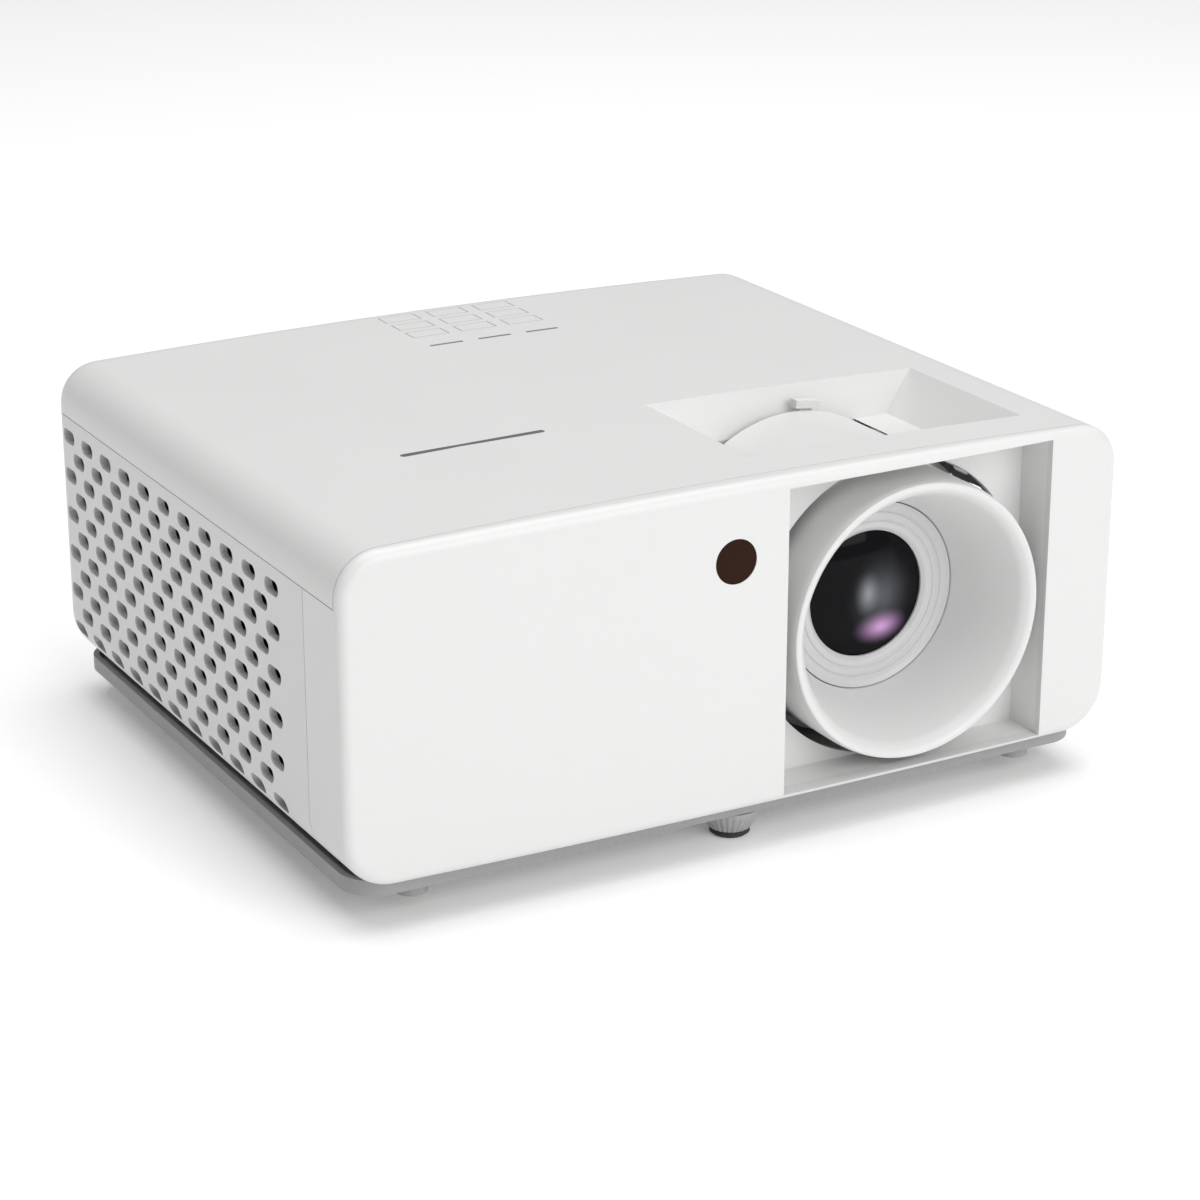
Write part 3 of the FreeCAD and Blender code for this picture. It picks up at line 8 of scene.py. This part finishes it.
import bmesh
import bpy
import numpy as np
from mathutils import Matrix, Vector


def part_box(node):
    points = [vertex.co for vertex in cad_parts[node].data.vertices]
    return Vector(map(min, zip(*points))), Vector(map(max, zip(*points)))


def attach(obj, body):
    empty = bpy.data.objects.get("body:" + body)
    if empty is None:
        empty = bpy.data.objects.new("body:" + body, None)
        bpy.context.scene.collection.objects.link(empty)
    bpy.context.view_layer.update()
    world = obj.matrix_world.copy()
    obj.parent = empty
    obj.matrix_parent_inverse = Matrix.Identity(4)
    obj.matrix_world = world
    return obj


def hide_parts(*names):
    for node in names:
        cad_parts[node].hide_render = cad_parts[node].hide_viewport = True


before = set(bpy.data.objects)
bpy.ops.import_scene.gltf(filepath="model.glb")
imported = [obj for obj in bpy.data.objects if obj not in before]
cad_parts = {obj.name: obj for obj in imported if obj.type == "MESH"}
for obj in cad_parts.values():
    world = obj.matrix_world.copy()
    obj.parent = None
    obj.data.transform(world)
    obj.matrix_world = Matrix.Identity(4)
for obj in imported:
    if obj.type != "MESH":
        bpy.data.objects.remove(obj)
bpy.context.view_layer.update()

MM = 0.001
MERGE = 1e-7
SHARP_DEGREES = 35
scene = bpy.context.scene


# ---------------------------------------------------------------- shader tools

class Wire:
    """A node's output.  Sums on it, with numbers or other wires, add Math nodes."""

    def __init__(self, paint, socket):
        self.paint = paint
        self.socket = socket

    def __add__(self, other):
        return self.paint.math("ADD", self, other)

    def __sub__(self, other):
        return self.paint.math("SUBTRACT", self, other)

    def __mul__(self, other):
        return self.paint.math("MULTIPLY", self, other)

    def __gt__(self, other):
        return self.paint.math("GREATER_THAN", self, other)

    def __lt__(self, other):
        return self.paint.math("LESS_THAN", self, other)

    def __rsub__(self, other):
        return self.paint.math("SUBTRACT", other, self)

    __radd__ = __add__
    __rmul__ = __mul__


class Paint:
    """A material with one Principled shader, whose other nodes come from node()."""

    def __init__(self, name, colour, **constants):
        self.material = bpy.data.materials.new(name)
        self.material.use_nodes = True
        self.tree = self.material.node_tree
        self.tree.nodes.clear()
        self.shader = self.tree.nodes.new("ShaderNodeBsdfPrincipled")
        self.tree.links.new(self.shader.outputs["BSDF"],
                            self.tree.nodes.new("ShaderNodeOutputMaterial").inputs["Surface"])
        self.place = self.node("ShaderNodeTexCoord", output="Object")
        self.feed("Base Color", (*colour, 1))
        for socket, value in constants.items():
            self.feed(socket.replace("_", " "), value)

    def put(self, socket, value):
        if isinstance(value, Wire):
            self.tree.links.new(value.socket, socket)
        else:
            socket.default_value = value

    def feed(self, socket, value):
        self.put(self.shader.inputs[socket], value)

    def node(self, kind, settings=None, sockets=None, output=0):
        """Adds a node: its settings first, then the values or links of its sockets."""
        made = self.tree.nodes.new(kind)
        for key, value in (settings or {}).items():
            setattr(made, key, value)
        for key, value in (sockets or {}).items():
            self.put(made.inputs[key], value)
        return Wire(self, made.outputs[output])

    def math(self, operation, *operands):
        return self.node("ShaderNodeMath", {"operation": operation}, dict(enumerate(operands)))

    def stretched(self, scale):
        """The object's coordinates, each axis multiplied by its own factor."""
        return self.node("ShaderNodeMapping", {}, {"Vector": self.place, "Scale": scale})

    def noise(self, scale, detail=2.0, place=None):
        """Soft noise between 0 and 1, that many lumps to the metre."""
        return self.node("ShaderNodeTexNoise", {},
                         {"Vector": place or self.place, "Scale": scale, "Detail": detail})

    def mix(self, first, second, factor):
        """The first colour where the factor is 0 and the second where it is 1."""
        return self.node("ShaderNodeMix", {"data_type": "RGBA"},
                         {0: factor, 6: first, 7: second}, output=2)

    def relief(self, height, depth):
        """Normal from a height between 0 and 1, at that depth in metres."""
        self.feed("Normal", self.node("ShaderNodeBump", {}, {
            "Strength": 1.0, "Distance": depth, "Height": height}))

    def mottle(self, dark, light, factor):
        """Base colour between a dark and a light tone."""
        self.feed("Base Color", self.mix((*dark, 1), (*light, 1), factor))

    def distance(self, place, spot):
        return self.node("ShaderNodeVectorMath", {"operation": "DISTANCE"},
                         {0: place, 1: spot}, output="Value")

    def bloom(self, spot, reach):
        """(1 - d)^2 where d is the distance from the spot with each axis divided by its reach,
        and 0 past d = 1."""
        place = self.node("ShaderNodeMapping", {"vector_type": "TEXTURE"},
                          {"Vector": self.place, "Location": spot, "Scale": reach})
        fall = self.math("MAXIMUM", 1 - self.distance(place, (0, 0, 0)), 0)
        return fall * fall


def grey(tone):
    return (tone, tone, tone)


def moulded(name, colour, gloss, grain, depth, contrast=0.03, **constants):
    """Moulded plastic: spark-eroded grain, with slow drifts in tone and in gloss."""
    paint = Paint(name, colour, **constants)
    fine = paint.noise(grain, 3.0)
    slow = paint.noise(18.0, 1.0)
    darker = tuple(part * (1 - contrast) for part in colour)
    paint.mottle(darker, colour, slow * 0.6 + fine * 0.4)
    paint.feed("Roughness", slow * 0.06 + fine * 0.08 + (gloss - 0.07))
    paint.relief(fine, depth)
    return paint


def metal(name, colour, gloss, scale, depth, **constants):
    """Bare metal: scratches drawn out along the axis that has the smallest scale."""
    paint = Paint(name, colour, Metallic=1.0, **constants)
    lines = paint.noise(1.0, 3.0, paint.stretched(scale))
    paint.mottle(tuple(part * 0.82 for part in colour), colour, lines)
    paint.feed("Roughness", lines * 0.18 + (gloss - 0.09))
    paint.relief(lines, depth)
    return paint


def circuit_board():
    """Solder mask over copper runs, with bright pads where the runs end."""
    paint = Paint("circuit_board", (0.02, 0.14, 0.06))
    cells = paint.node("ShaderNodeTexVoronoi", {"distance": "CHEBYCHEV"},
                       {"Vector": paint.place, "Scale": 240.0})
    runs = (cells > 0.3) * (cells < 0.42)
    pads = cells < 0.12
    masked = paint.mix((0.012, 0.10, 0.04, 1), (0.03, 0.2, 0.09, 1), runs)
    paint.feed("Base Color", paint.mix(masked, (0.72, 0.66, 0.5, 1), pads))
    paint.feed("Metallic", pads * 0.9)
    paint.feed("Roughness", 0.42 - pads * 0.12 + runs * 0.05)
    paint.relief(runs + pads, 0.05 * MM)
    return paint


def phosphor_disc():
    """Polished disc with the yellow and green coated band near its rim."""
    paint = Paint("phosphor_disc", (0.8, 0.8, 0.8))
    low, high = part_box("phosphor_wheel")
    centre = (low + high) / 2
    reach = paint.distance(paint.place, tuple(centre))
    outer = (high.z - low.z) / 2
    band = (reach > outer * 0.76) * (reach < outer * 0.97)
    half = paint.node("ShaderNodeSeparateXYZ", {}, {0: paint.place}, output="Y") > centre.y
    coat = paint.mix((0.72, 0.55, 0.06, 1), (0.16, 0.5, 0.08, 1), half)
    paint.feed("Base Color", paint.mix((0.82, 0.82, 0.84, 1), coat, band))
    paint.feed("Metallic", 1 - band)
    paint.feed("Roughness", band * 0.45 + 0.12)
    return paint


RING_PITCH = 0.7 * MM


def turned_black(axis):
    """Black anodised metal with fine rings cut round the axis, one every RING_PITCH."""
    paint = Paint("black_barrel", grey(0.02), Specular_IOR_Level=0.4)
    flat = paint.node("ShaderNodeVectorMath", {"operation": "MULTIPLY"},
                      {0: paint.place, 1: (1, 0, 1)})
    along = paint.node("ShaderNodeSeparateXYZ", {}, {0: paint.place}, output="Y")
    turns = (paint.distance(flat, (axis.x, 0, axis.z)) + along) * (math.tau / RING_PITCH)
    rings = paint.math("SINE", turns)
    fine = paint.noise(900.0)
    paint.mottle(grey(0.012), grey(0.03), rings * 0.3 + fine * 0.5)
    paint.feed("Roughness", fine * 0.2 + 0.42)
    paint.relief(rings, 0.06 * MM)
    return paint


def clear_glass():
    """Polished glass with one coated face and a faint haze left by wiping."""
    paint = Paint("optical_glass", (0.9, 0.92, 0.95), Transmission_Weight=1.0, IOR=1.6,
                  Thin_Film_Thickness=110.0, Thin_Film_IOR=1.38)
    paint.feed("Roughness", paint.noise(260.0) * 0.03 + 0.01)
    return paint


# Painted reflections laid into the front lens's base colour, in place of the coating's reflections of
# the lights: place across and up from its axis, half width, half height, tint.
PAINTED_COOL_REFLECTION_WIDE = (5 * MM, -1 * MM, 15 * MM, 17 * MM, (0.13, 0.135, 0.15))
PAINTED_COOL_REFLECTION_CORE = (-0.5 * MM, 0.5 * MM, 6 * MM, 9 * MM, (0.34, 0.36, 0.39))
PAINTED_VIOLET_REFLECTION = (5.4 * MM, -11.8 * MM, 12 * MM, 7 * MM, (0.80, 0.46, 0.84))
PAINTED_REFLECTION_DEPTH = 60 * MM


def coated_glass(axis):
    """Front lens against the dark barrel: near black, with a painted cool reflection in the middle
    and to the +X side of it, and a painted violet reflection low on that side, both laid into the
    base colour."""
    paint = Paint("coated_glass", grey(0.006), IOR=1.5, Specular_IOR_Level=0.06)
    colour = (0.006, 0.006, 0.007, 1)
    # Each spot mixes a painted reflection into the base colour.
    for across, up, wide, tall, tint in (PAINTED_COOL_REFLECTION_WIDE, PAINTED_COOL_REFLECTION_CORE, PAINTED_VIOLET_REFLECTION):
        spot = (axis.x + across, axis.y, axis.z + up)
        colour = paint.mix(colour, (*tint, 1), paint.bloom(spot, (wide, PAINTED_REFLECTION_DEPTH, tall)))
    paint.feed("Base Color", colour)
    paint.feed("Roughness", paint.noise(260.0) * 0.04 + 0.03)
    return paint


# ---------------------------------------------------------------- surface tools

def eased(corners, steps=6):
    """Closed outline (n, 2) from corners (a, b, ease) or (a, b, ease, ease after).  Each corner P
    becomes the parabola (1-s)^2 (P + ease u) + 2 s (1-s) P + s^2 (P + ease after v), u and v
    pointing to its neighbours."""
    table = np.array([(*corner, corner[-1])[:4] for corner in corners], float)
    spot, ease, ease_after = table[:, :2], table[:, 2:3], table[:, 3:]
    back, on = np.roll(spot, 1, 0) - spot, np.roll(spot, -1, 0) - spot
    start = spot + ease * back / np.linalg.norm(back, axis=1, keepdims=True)
    end = spot + ease_after * on / np.linalg.norm(on, axis=1, keepdims=True)
    s = np.linspace(0, 1, steps)[None, :, None]
    run = (1 - s) ** 2 * start[:, None] + 2 * s * (1 - s) * spot[:, None] + s ** 2 * end[:, None]
    return run.reshape(-1, 2)


def surface(name, points, body, finish, stands_for=()):
    """Mesh over a grid of points (rows, columns, 3).  A quad joins each point to the next in its
    row and in its column, both wrapping round; doubled points merge and faces turn outwards.
    The piece takes that finish, and the finish's name is its slot."""
    rows, columns = points.shape[:2]
    row = np.arange(rows)[:, None]
    column = np.arange(columns)[None, :]
    next_row, next_column = (row + 1) % rows, (column + 1) % columns
    quads = np.stack(np.broadcast_arrays(
        row * columns + column, row * columns + next_column,
        next_row * columns + next_column, next_row * columns + column), -1).reshape(-1, 4)
    mesh = bpy.data.meshes.new(name)
    mesh.from_pydata(points.reshape(-1, 3).tolist(), [], quads.tolist())
    shape = bmesh.new()
    shape.from_mesh(mesh)
    bmesh.ops.remove_doubles(shape, verts=shape.verts, dist=MERGE)
    bmesh.ops.recalc_face_normals(shape, faces=shape.faces)
    shape.to_mesh(mesh)
    shape.free()
    mesh.shade_smooth()
    mesh.set_sharp_from_angle(angle=math.radians(SHARP_DEGREES))
    made = bpy.data.objects.new(name, mesh)
    scene.collection.objects.link(made)
    mesh.materials.append(finishes[finish].material)
    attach(made, body)
    if stands_for:
        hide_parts(*stands_for)


def swept(outline, centre, axis="y", sides=160, relief=None):
    """Outline (radius, level) carried round an axis through centre: at angle t the point stands
    radius cos t and radius sin t from the axis; relief(t, radius, level) is added to the radius."""
    t = np.linspace(0, math.tau, sides, endpoint=False)[None, :]
    radius, level = outline[:, :1], outline[:, 1:]
    if relief is not None:
        radius = radius + relief(t, radius, level)
    across, up = radius * np.cos(t), radius * np.sin(t)
    level = np.broadcast_to(level, across.shape)
    if axis == "y":
        return np.stack([across + centre.x, level, up + centre.z], -1)
    return np.stack([across + centre.x, up + centre.y, level], -1)


def pillow(middle, size, corner, rings, steps=8):
    """Rounded rectangle carried through rings (shrink, inset, height): a corner point stands at
    shrink * (corner centre + (corner radius - inset) (cos t, sin t)), raised by the height."""
    t = (np.arange(4)[:, None] * math.pi / 2 + np.linspace(0, math.pi / 2, steps)).reshape(-1)
    side = np.repeat(np.array([[1, 1], [-1, 1], [-1, -1], [1, -1]]), steps, 0)
    centres = side * (np.array(size) / 2 - corner)
    bend = np.stack([np.cos(t), np.sin(t)], -1)
    shrink, inset, height = (np.array(rings, float)[:, i, None, None] for i in range(3))
    flat = shrink * (centres + (corner - inset) * bend) + np.array(middle)
    return np.concatenate([flat, np.broadcast_to(height, (*flat.shape[:2], 1))], -1)


# ---------------------------------------------------------------- finishes

ring_low, ring_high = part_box("focus_ring")
lens = (ring_low + ring_high) / 2
WHITE = (0.70, 0.70, 0.695)

finishes = {
    "white_housing": moulded("white_housing", WHITE, 0.36, 1500.0, 0.012 * MM),
    "white_grille": moulded("white_grille", (0.69, 0.69, 0.685), 0.4, 1500.0, 0.012 * MM),
    "grey_base": moulded("grey_base", grey(0.32), 0.5, 900.0, 0.03 * MM, 0.1),
    "grey_foot": moulded("grey_foot", grey(0.36), 0.42, 1100.0, 0.02 * MM, 0.1),
    "foot_rubber": moulded("foot_rubber", grey(0.03), 0.75, 700.0, 0.05 * MM, 0.3),
    "white_zoom_ring": moulded("white_zoom_ring", (0.69, 0.69, 0.685), 0.34, 1500.0, 0.01 * MM),
    "white_retainer": moulded("white_retainer", grey(0.58), 0.34, 1500.0, 0.01 * MM),
    "fan_plastic": moulded("fan_plastic", grey(0.018), 0.45, 800.0, 0.02 * MM, 0.3),
    "socket_plastic": moulded("socket_plastic", grey(0.02), 0.4, 1200.0, 0.02 * MM, 0.3),
    "speaker_box": moulded("speaker_box", grey(0.03), 0.55, 900.0, 0.03 * MM, 0.3),
    "chip_ceramic": moulded("chip_ceramic", (0.16, 0.16, 0.18), 0.3, 1500.0, 0.01 * MM, 0.1),
    "indicator_lens": moulded("indicator_lens", grey(0.2), 0.22, 1200.0, 0.004 * MM, 0.1,
                              Coat_Weight=0.4),
    "infrared_window": moulded("infrared_window", (0.028, 0.009, 0.005), 0.2, 500.0, 0.002 * MM,
                               0.3, Specular_IOR_Level=0.08),
    "cast_engine": metal("cast_engine", (0.5, 0.5, 0.52), 0.5, (700, 700, 700), 0.05 * MM),
    "fin_aluminium": metal("fin_aluminium", (0.72, 0.73, 0.75), 0.34, (40, 1500, 1500),
                           0.01 * MM),
    "motor_steel": metal("motor_steel", (0.55, 0.55, 0.57), 0.3, (40, 1200, 1200), 0.008 * MM),
    "socket_steel": metal("socket_steel", (0.66, 0.65, 0.62), 0.28, (900, 60, 900), 0.006 * MM),
    "steel_screw": metal("steel_screw", (0.5, 0.5, 0.51), 0.32, (1200, 1200, 100), 0.008 * MM),
    "brass_bush": metal("brass_bush", (0.62, 0.45, 0.2), 0.3, (1200, 1200, 90), 0.008 * MM),
    "tunnel_mirror": metal("tunnel_mirror", (0.86, 0.87, 0.88), 0.14, (30, 400, 400), 0.0),
    "circuit_board": circuit_board(),
    "phosphor_disc": phosphor_disc(),
    "name_plate": moulded("name_plate", grey(0.12), 0.3, 1200.0, 0.004 * MM, 0.1),
    # Brighter copy of the housing white for the lens bay: painted light that lifts the bay out of its
    # shade.
    "bay_white_painted_light": moulded("bay_white_painted_light", (0.78, 0.78, 0.775), 0.4, 1500.0, 0.012 * MM),
    "black_barrel": turned_black(lens),
    "optical_glass": clear_glass(),
    "coated_glass": coated_glass(lens),
}
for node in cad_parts.values():
    slot = node.data.materials[0].name.split(".")[0]
    node.data.materials[0] = finishes[slot].material
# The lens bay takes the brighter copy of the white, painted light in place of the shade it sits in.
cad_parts["lens_bay"].data.materials[0] = finishes["bay_white_painted_light"].material


# ---------------------------------------------------------------- lens

# Focus ring, in millimetres: radii from the lens axis, then places along it.
MOUTH, LIP, HOOD, DRUM, DRUM_BORE, HUB, HUB_BORE, THROAT = 41.2, 43.6, 46, 48.5, 46, 36, 33.05, 31.5
LIP_FALL = 2.0
THROAT_FRONT, SEAT, HOOD_BACK, DRUM_FRONT, WEB_BACK, HUB_BACK = -92, -85.5, -85, -84.4, -80, -58
front, back = ring_low.y / MM, ring_high.y / MM
ring_outline = eased([
    (MOUTH, front + LIP_FALL, 2.2), (LIP, front, 1.5, 1.1), (HOOD, front, 1.2, 7),
    (HOOD, HOOD_BACK, 0.6), (DRUM, DRUM_FRONT, 0.5), (DRUM, back, 0.7), (DRUM_BORE, back, 0.3),
    (DRUM_BORE, WEB_BACK, 0.3), (HUB, WEB_BACK, 0.3), (HUB, HUB_BACK, 0.3),
    (HUB_BORE, HUB_BACK, 0.2), (HUB_BORE, SEAT, 0.2), (THROAT, SEAT, 0.3),
    (THROAT, THROAT_FRONT, 0.6)]) * MM
surface("focus_ring_turned", swept(ring_outline, lens, sides=256), "focus_ring",
        "white_housing", ["focus_ring"])

# Lens retainer, in millimetres: radii of its bore, face, skirt and seat, and its two grooves,
# each from one radius to another.
BORE, FACE_START, FACE_END, SKIRT, SEAT_RADIUS = 21.2, 22.6, 29.6, 31.2, 29.8
GROOVES = ((24.4, 25.3), (27.4, 28.2))
GROOVE_DEPTH, GROOVE_SLOPE = 0.35, 0.2
low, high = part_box("lens_retainer")
face, seat = low.y / MM, high.y / MM
grooves = [corner for start, end in GROOVES for corner in (
    (start, face, 0.12), (start + GROOVE_SLOPE, face + GROOVE_DEPTH, 0.08),
    (end - GROOVE_SLOPE, face + GROOVE_DEPTH, 0.08), (end, face, 0.12))]
retainer_outline = eased([
    (BORE, seat, 0), (BORE, face + 1.1, 0.1), (FACE_START, face, 0.5), *grooves,
    (FACE_END, face, 0.5), (SKIRT, face - 1.0, 0.2), (SKIRT, face + 0.4, 0.2),
    (SEAT_RADIUS, seat, 0)]) * MM
surface("lens_retainer_turned", swept(retainer_outline, lens), "front_lens_group",
        "white_retainer", ["lens_retainer"])

low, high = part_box("front_lens")
FRONT_BOW, BACK_BOW = 3.0 * MM, 1.5 * MM
reach = (high.x - low.x) / 2
r = np.linspace(0, reach, 24)
dome = 1 - (r / reach) ** 2
lens_outline = np.concatenate([np.stack([r, low.y + FRONT_BOW - FRONT_BOW * dome], -1),
                               np.stack([r, high.y - BACK_BOW * dome], -1)[::-1]])
surface("front_lens_ground", swept(lens_outline, lens, sides=128), "front_lens_group",
        "coated_glass", ["front_lens"])


# ---------------------------------------------------------------- feet

# Radii and heights of the screw foot, in millimetres from its axis and from the floor.
SHANK, PIN_BORE, TIP, KNOB, KNOB_LOW, KNOB_TOP = 3.5, 2.05, 6.75, 10, 8.1, 9.6
FOOT_LEAD, FOOT_STARTS, THREAD_DEPTH = 3.0, 2, 0.35
FLUTES, FLUTE_DEPTH = 28, 0.35


def cut_foot(t, radius, level):
    """Flutes in the knob, FLUTE_DEPTH cos^4(FLUTES t / 2), and the thread in the shank, a wave
    THREAD_DEPTH (1 - cos(2 pi STARTS level / LEAD - STARTS t)) / 2 that climbs with the turn."""
    knob = (radius > (TIP - 0.4) * MM) & (level < (KNOB_TOP - 0.3) * MM)
    shank = (np.abs(radius - SHANK * MM) < 0.1 * MM) & (level > (KNOB_TOP + 0.1) * MM)
    flutes = FLUTE_DEPTH * np.cos(FLUTES * t / 2) ** 4
    climb = math.tau * FOOT_STARTS * level / (FOOT_LEAD * MM) - FOOT_STARTS * t
    thread = THREAD_DEPTH * (1 - np.cos(climb)) / 2
    return -MM * (knob * flutes + shank * thread)


for foot in ("front_foot", "rear_left_foot", "rear_right_foot"):
    low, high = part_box(foot + "_screw")
    base, rise = low.z / MM, high.z / MM
    knob = eased([(PIN_BORE, base, 0.1), (TIP, base, 0.4), (TIP + 1.65, base + 3, 1.0),
                  (KNOB, KNOB_LOW, 0.4), (KNOB, KNOB_TOP, 0.3), (SHANK, KNOB_TOP, 0)])[:-5]
    levels = np.linspace(KNOB_TOP + 0.2, rise - 1, 150)
    shank = np.stack([np.full_like(levels, SHANK), levels], -1)
    top = np.array([(SHANK - 1, rise), (0, rise), (0, KNOB_TOP), (PIN_BORE, KNOB_TOP)])
    surface(foot + "_screw_cut",
            swept(np.concatenate([knob, shank, top]) * MM, (low + high) / 2, "z", 112, cut_foot),
            foot + "_screw", "grey_foot", [foot + "_screw"])


# ---------------------------------------------------------------- plate on the cover

cover_low, cover_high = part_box("top_cover")
CROWN = 2.5 * MM
half_cover = (cover_high.x - cover_low.x) / 2


def on_crown(points):
    """Lowers points by the crown's fall, CROWN (x / half width)^2, below the cover's highest line."""
    settled = points.copy()
    settled[..., 2] += cover_high.z - CROWN * (points[..., 0] / half_cover) ** 2
    return settled


PLATE = dict(middle=(-56.5 * MM, -43.6 * MM), size=(50 * MM, 2.6 * MM), corner=1.29 * MM)
PLATE_ROOT, PLATE_RISE = -0.4 * MM, 0.05 * MM
plate_rings = [(0, 0, PLATE_ROOT), (1, 0, PLATE_ROOT), (1, 0, 0),
               (1, 0.12 * MM, PLATE_RISE), (0.5, 0.12 * MM, PLATE_RISE),
               (0, 0.12 * MM, PLATE_RISE)]
surface("name_plate", on_crown(pillow(rings=plate_rings, **PLATE)), "housing", "name_plate")


# ---------------------------------------------------------------- camera, floor and light

CAMERA_TURN = -28.95
CAMERA_RISE = 20.05
CAMERA_DISTANCE = 1.02915
CAMERA_TARGET = Vector((-0.0165, -0.0526, 0.065))

turn, rise = math.radians(CAMERA_TURN), math.radians(CAMERA_RISE)
away = Vector((math.sin(turn) * math.cos(rise), -math.cos(turn) * math.cos(rise), math.sin(rise)))
camera = bpy.data.objects.new("camera", bpy.data.cameras.new("camera"))
camera.data.lens = 96.59
camera.data.sensor_width = 36
camera.data.clip_start = 0.01
camera.data.clip_end = 50
camera.location = CAMERA_TARGET + away * CAMERA_DISTANCE
camera.rotation_mode = "QUATERNION"
camera.rotation_quaternion = (-away).to_track_quat("-Z", "Y")
scene.collection.objects.link(camera)
scene.camera = camera

FLOOR_HALF = 6.0
floor_mesh = bpy.data.meshes.new("floor")
floor_mesh.from_pydata([(-FLOOR_HALF, -FLOOR_HALF, 0), (FLOOR_HALF, -FLOOR_HALF, 0),
                        (FLOOR_HALF, FLOOR_HALF, 0), (-FLOOR_HALF, FLOOR_HALF, 0)],
                       [], [(0, 1, 2, 3)])
floor = bpy.data.objects.new("floor", floor_mesh)
scene.collection.objects.link(floor)
floor_paint = Paint("floor_white", grey(0.9), Roughness=0.9, Specular_IOR_Level=0.1,
                    Emission_Color=(1, 1, 1, 1), Emission_Strength=0.15)
floor_paint.mottle(grey(0.89), grey(0.91), floor_paint.noise(3.0))
floor_mesh.materials.append(floor_paint.material)

scene.world = bpy.data.worlds.new("studio")
scene.world.use_nodes = True
backdrop = scene.world.node_tree.nodes["Background"]
backdrop.inputs["Color"].default_value = (1, 1, 1, 1)
backdrop.inputs["Strength"].default_value = 0.32
scene.view_settings.view_transform = "Standard"


def softbox(name, spot, size, watts, aim=Vector((0, 0, 0.06))):
    """Square area light at a spot, turned to face the aim point."""
    light = bpy.data.lights.new(name, "AREA")
    light.size = size
    light.energy = watts
    made = bpy.data.objects.new(name, light)
    made.location = spot
    made.rotation_mode = "QUATERNION"
    made.rotation_quaternion = (aim - Vector(spot)).to_track_quat("-Z", "Y")
    scene.collection.objects.link(made)


softbox("key_light", (0.5, -2.4, 1.2), 2.0, 39)
softbox("top_light", (0.1, 0.1, 2.4), 2.4, 48)
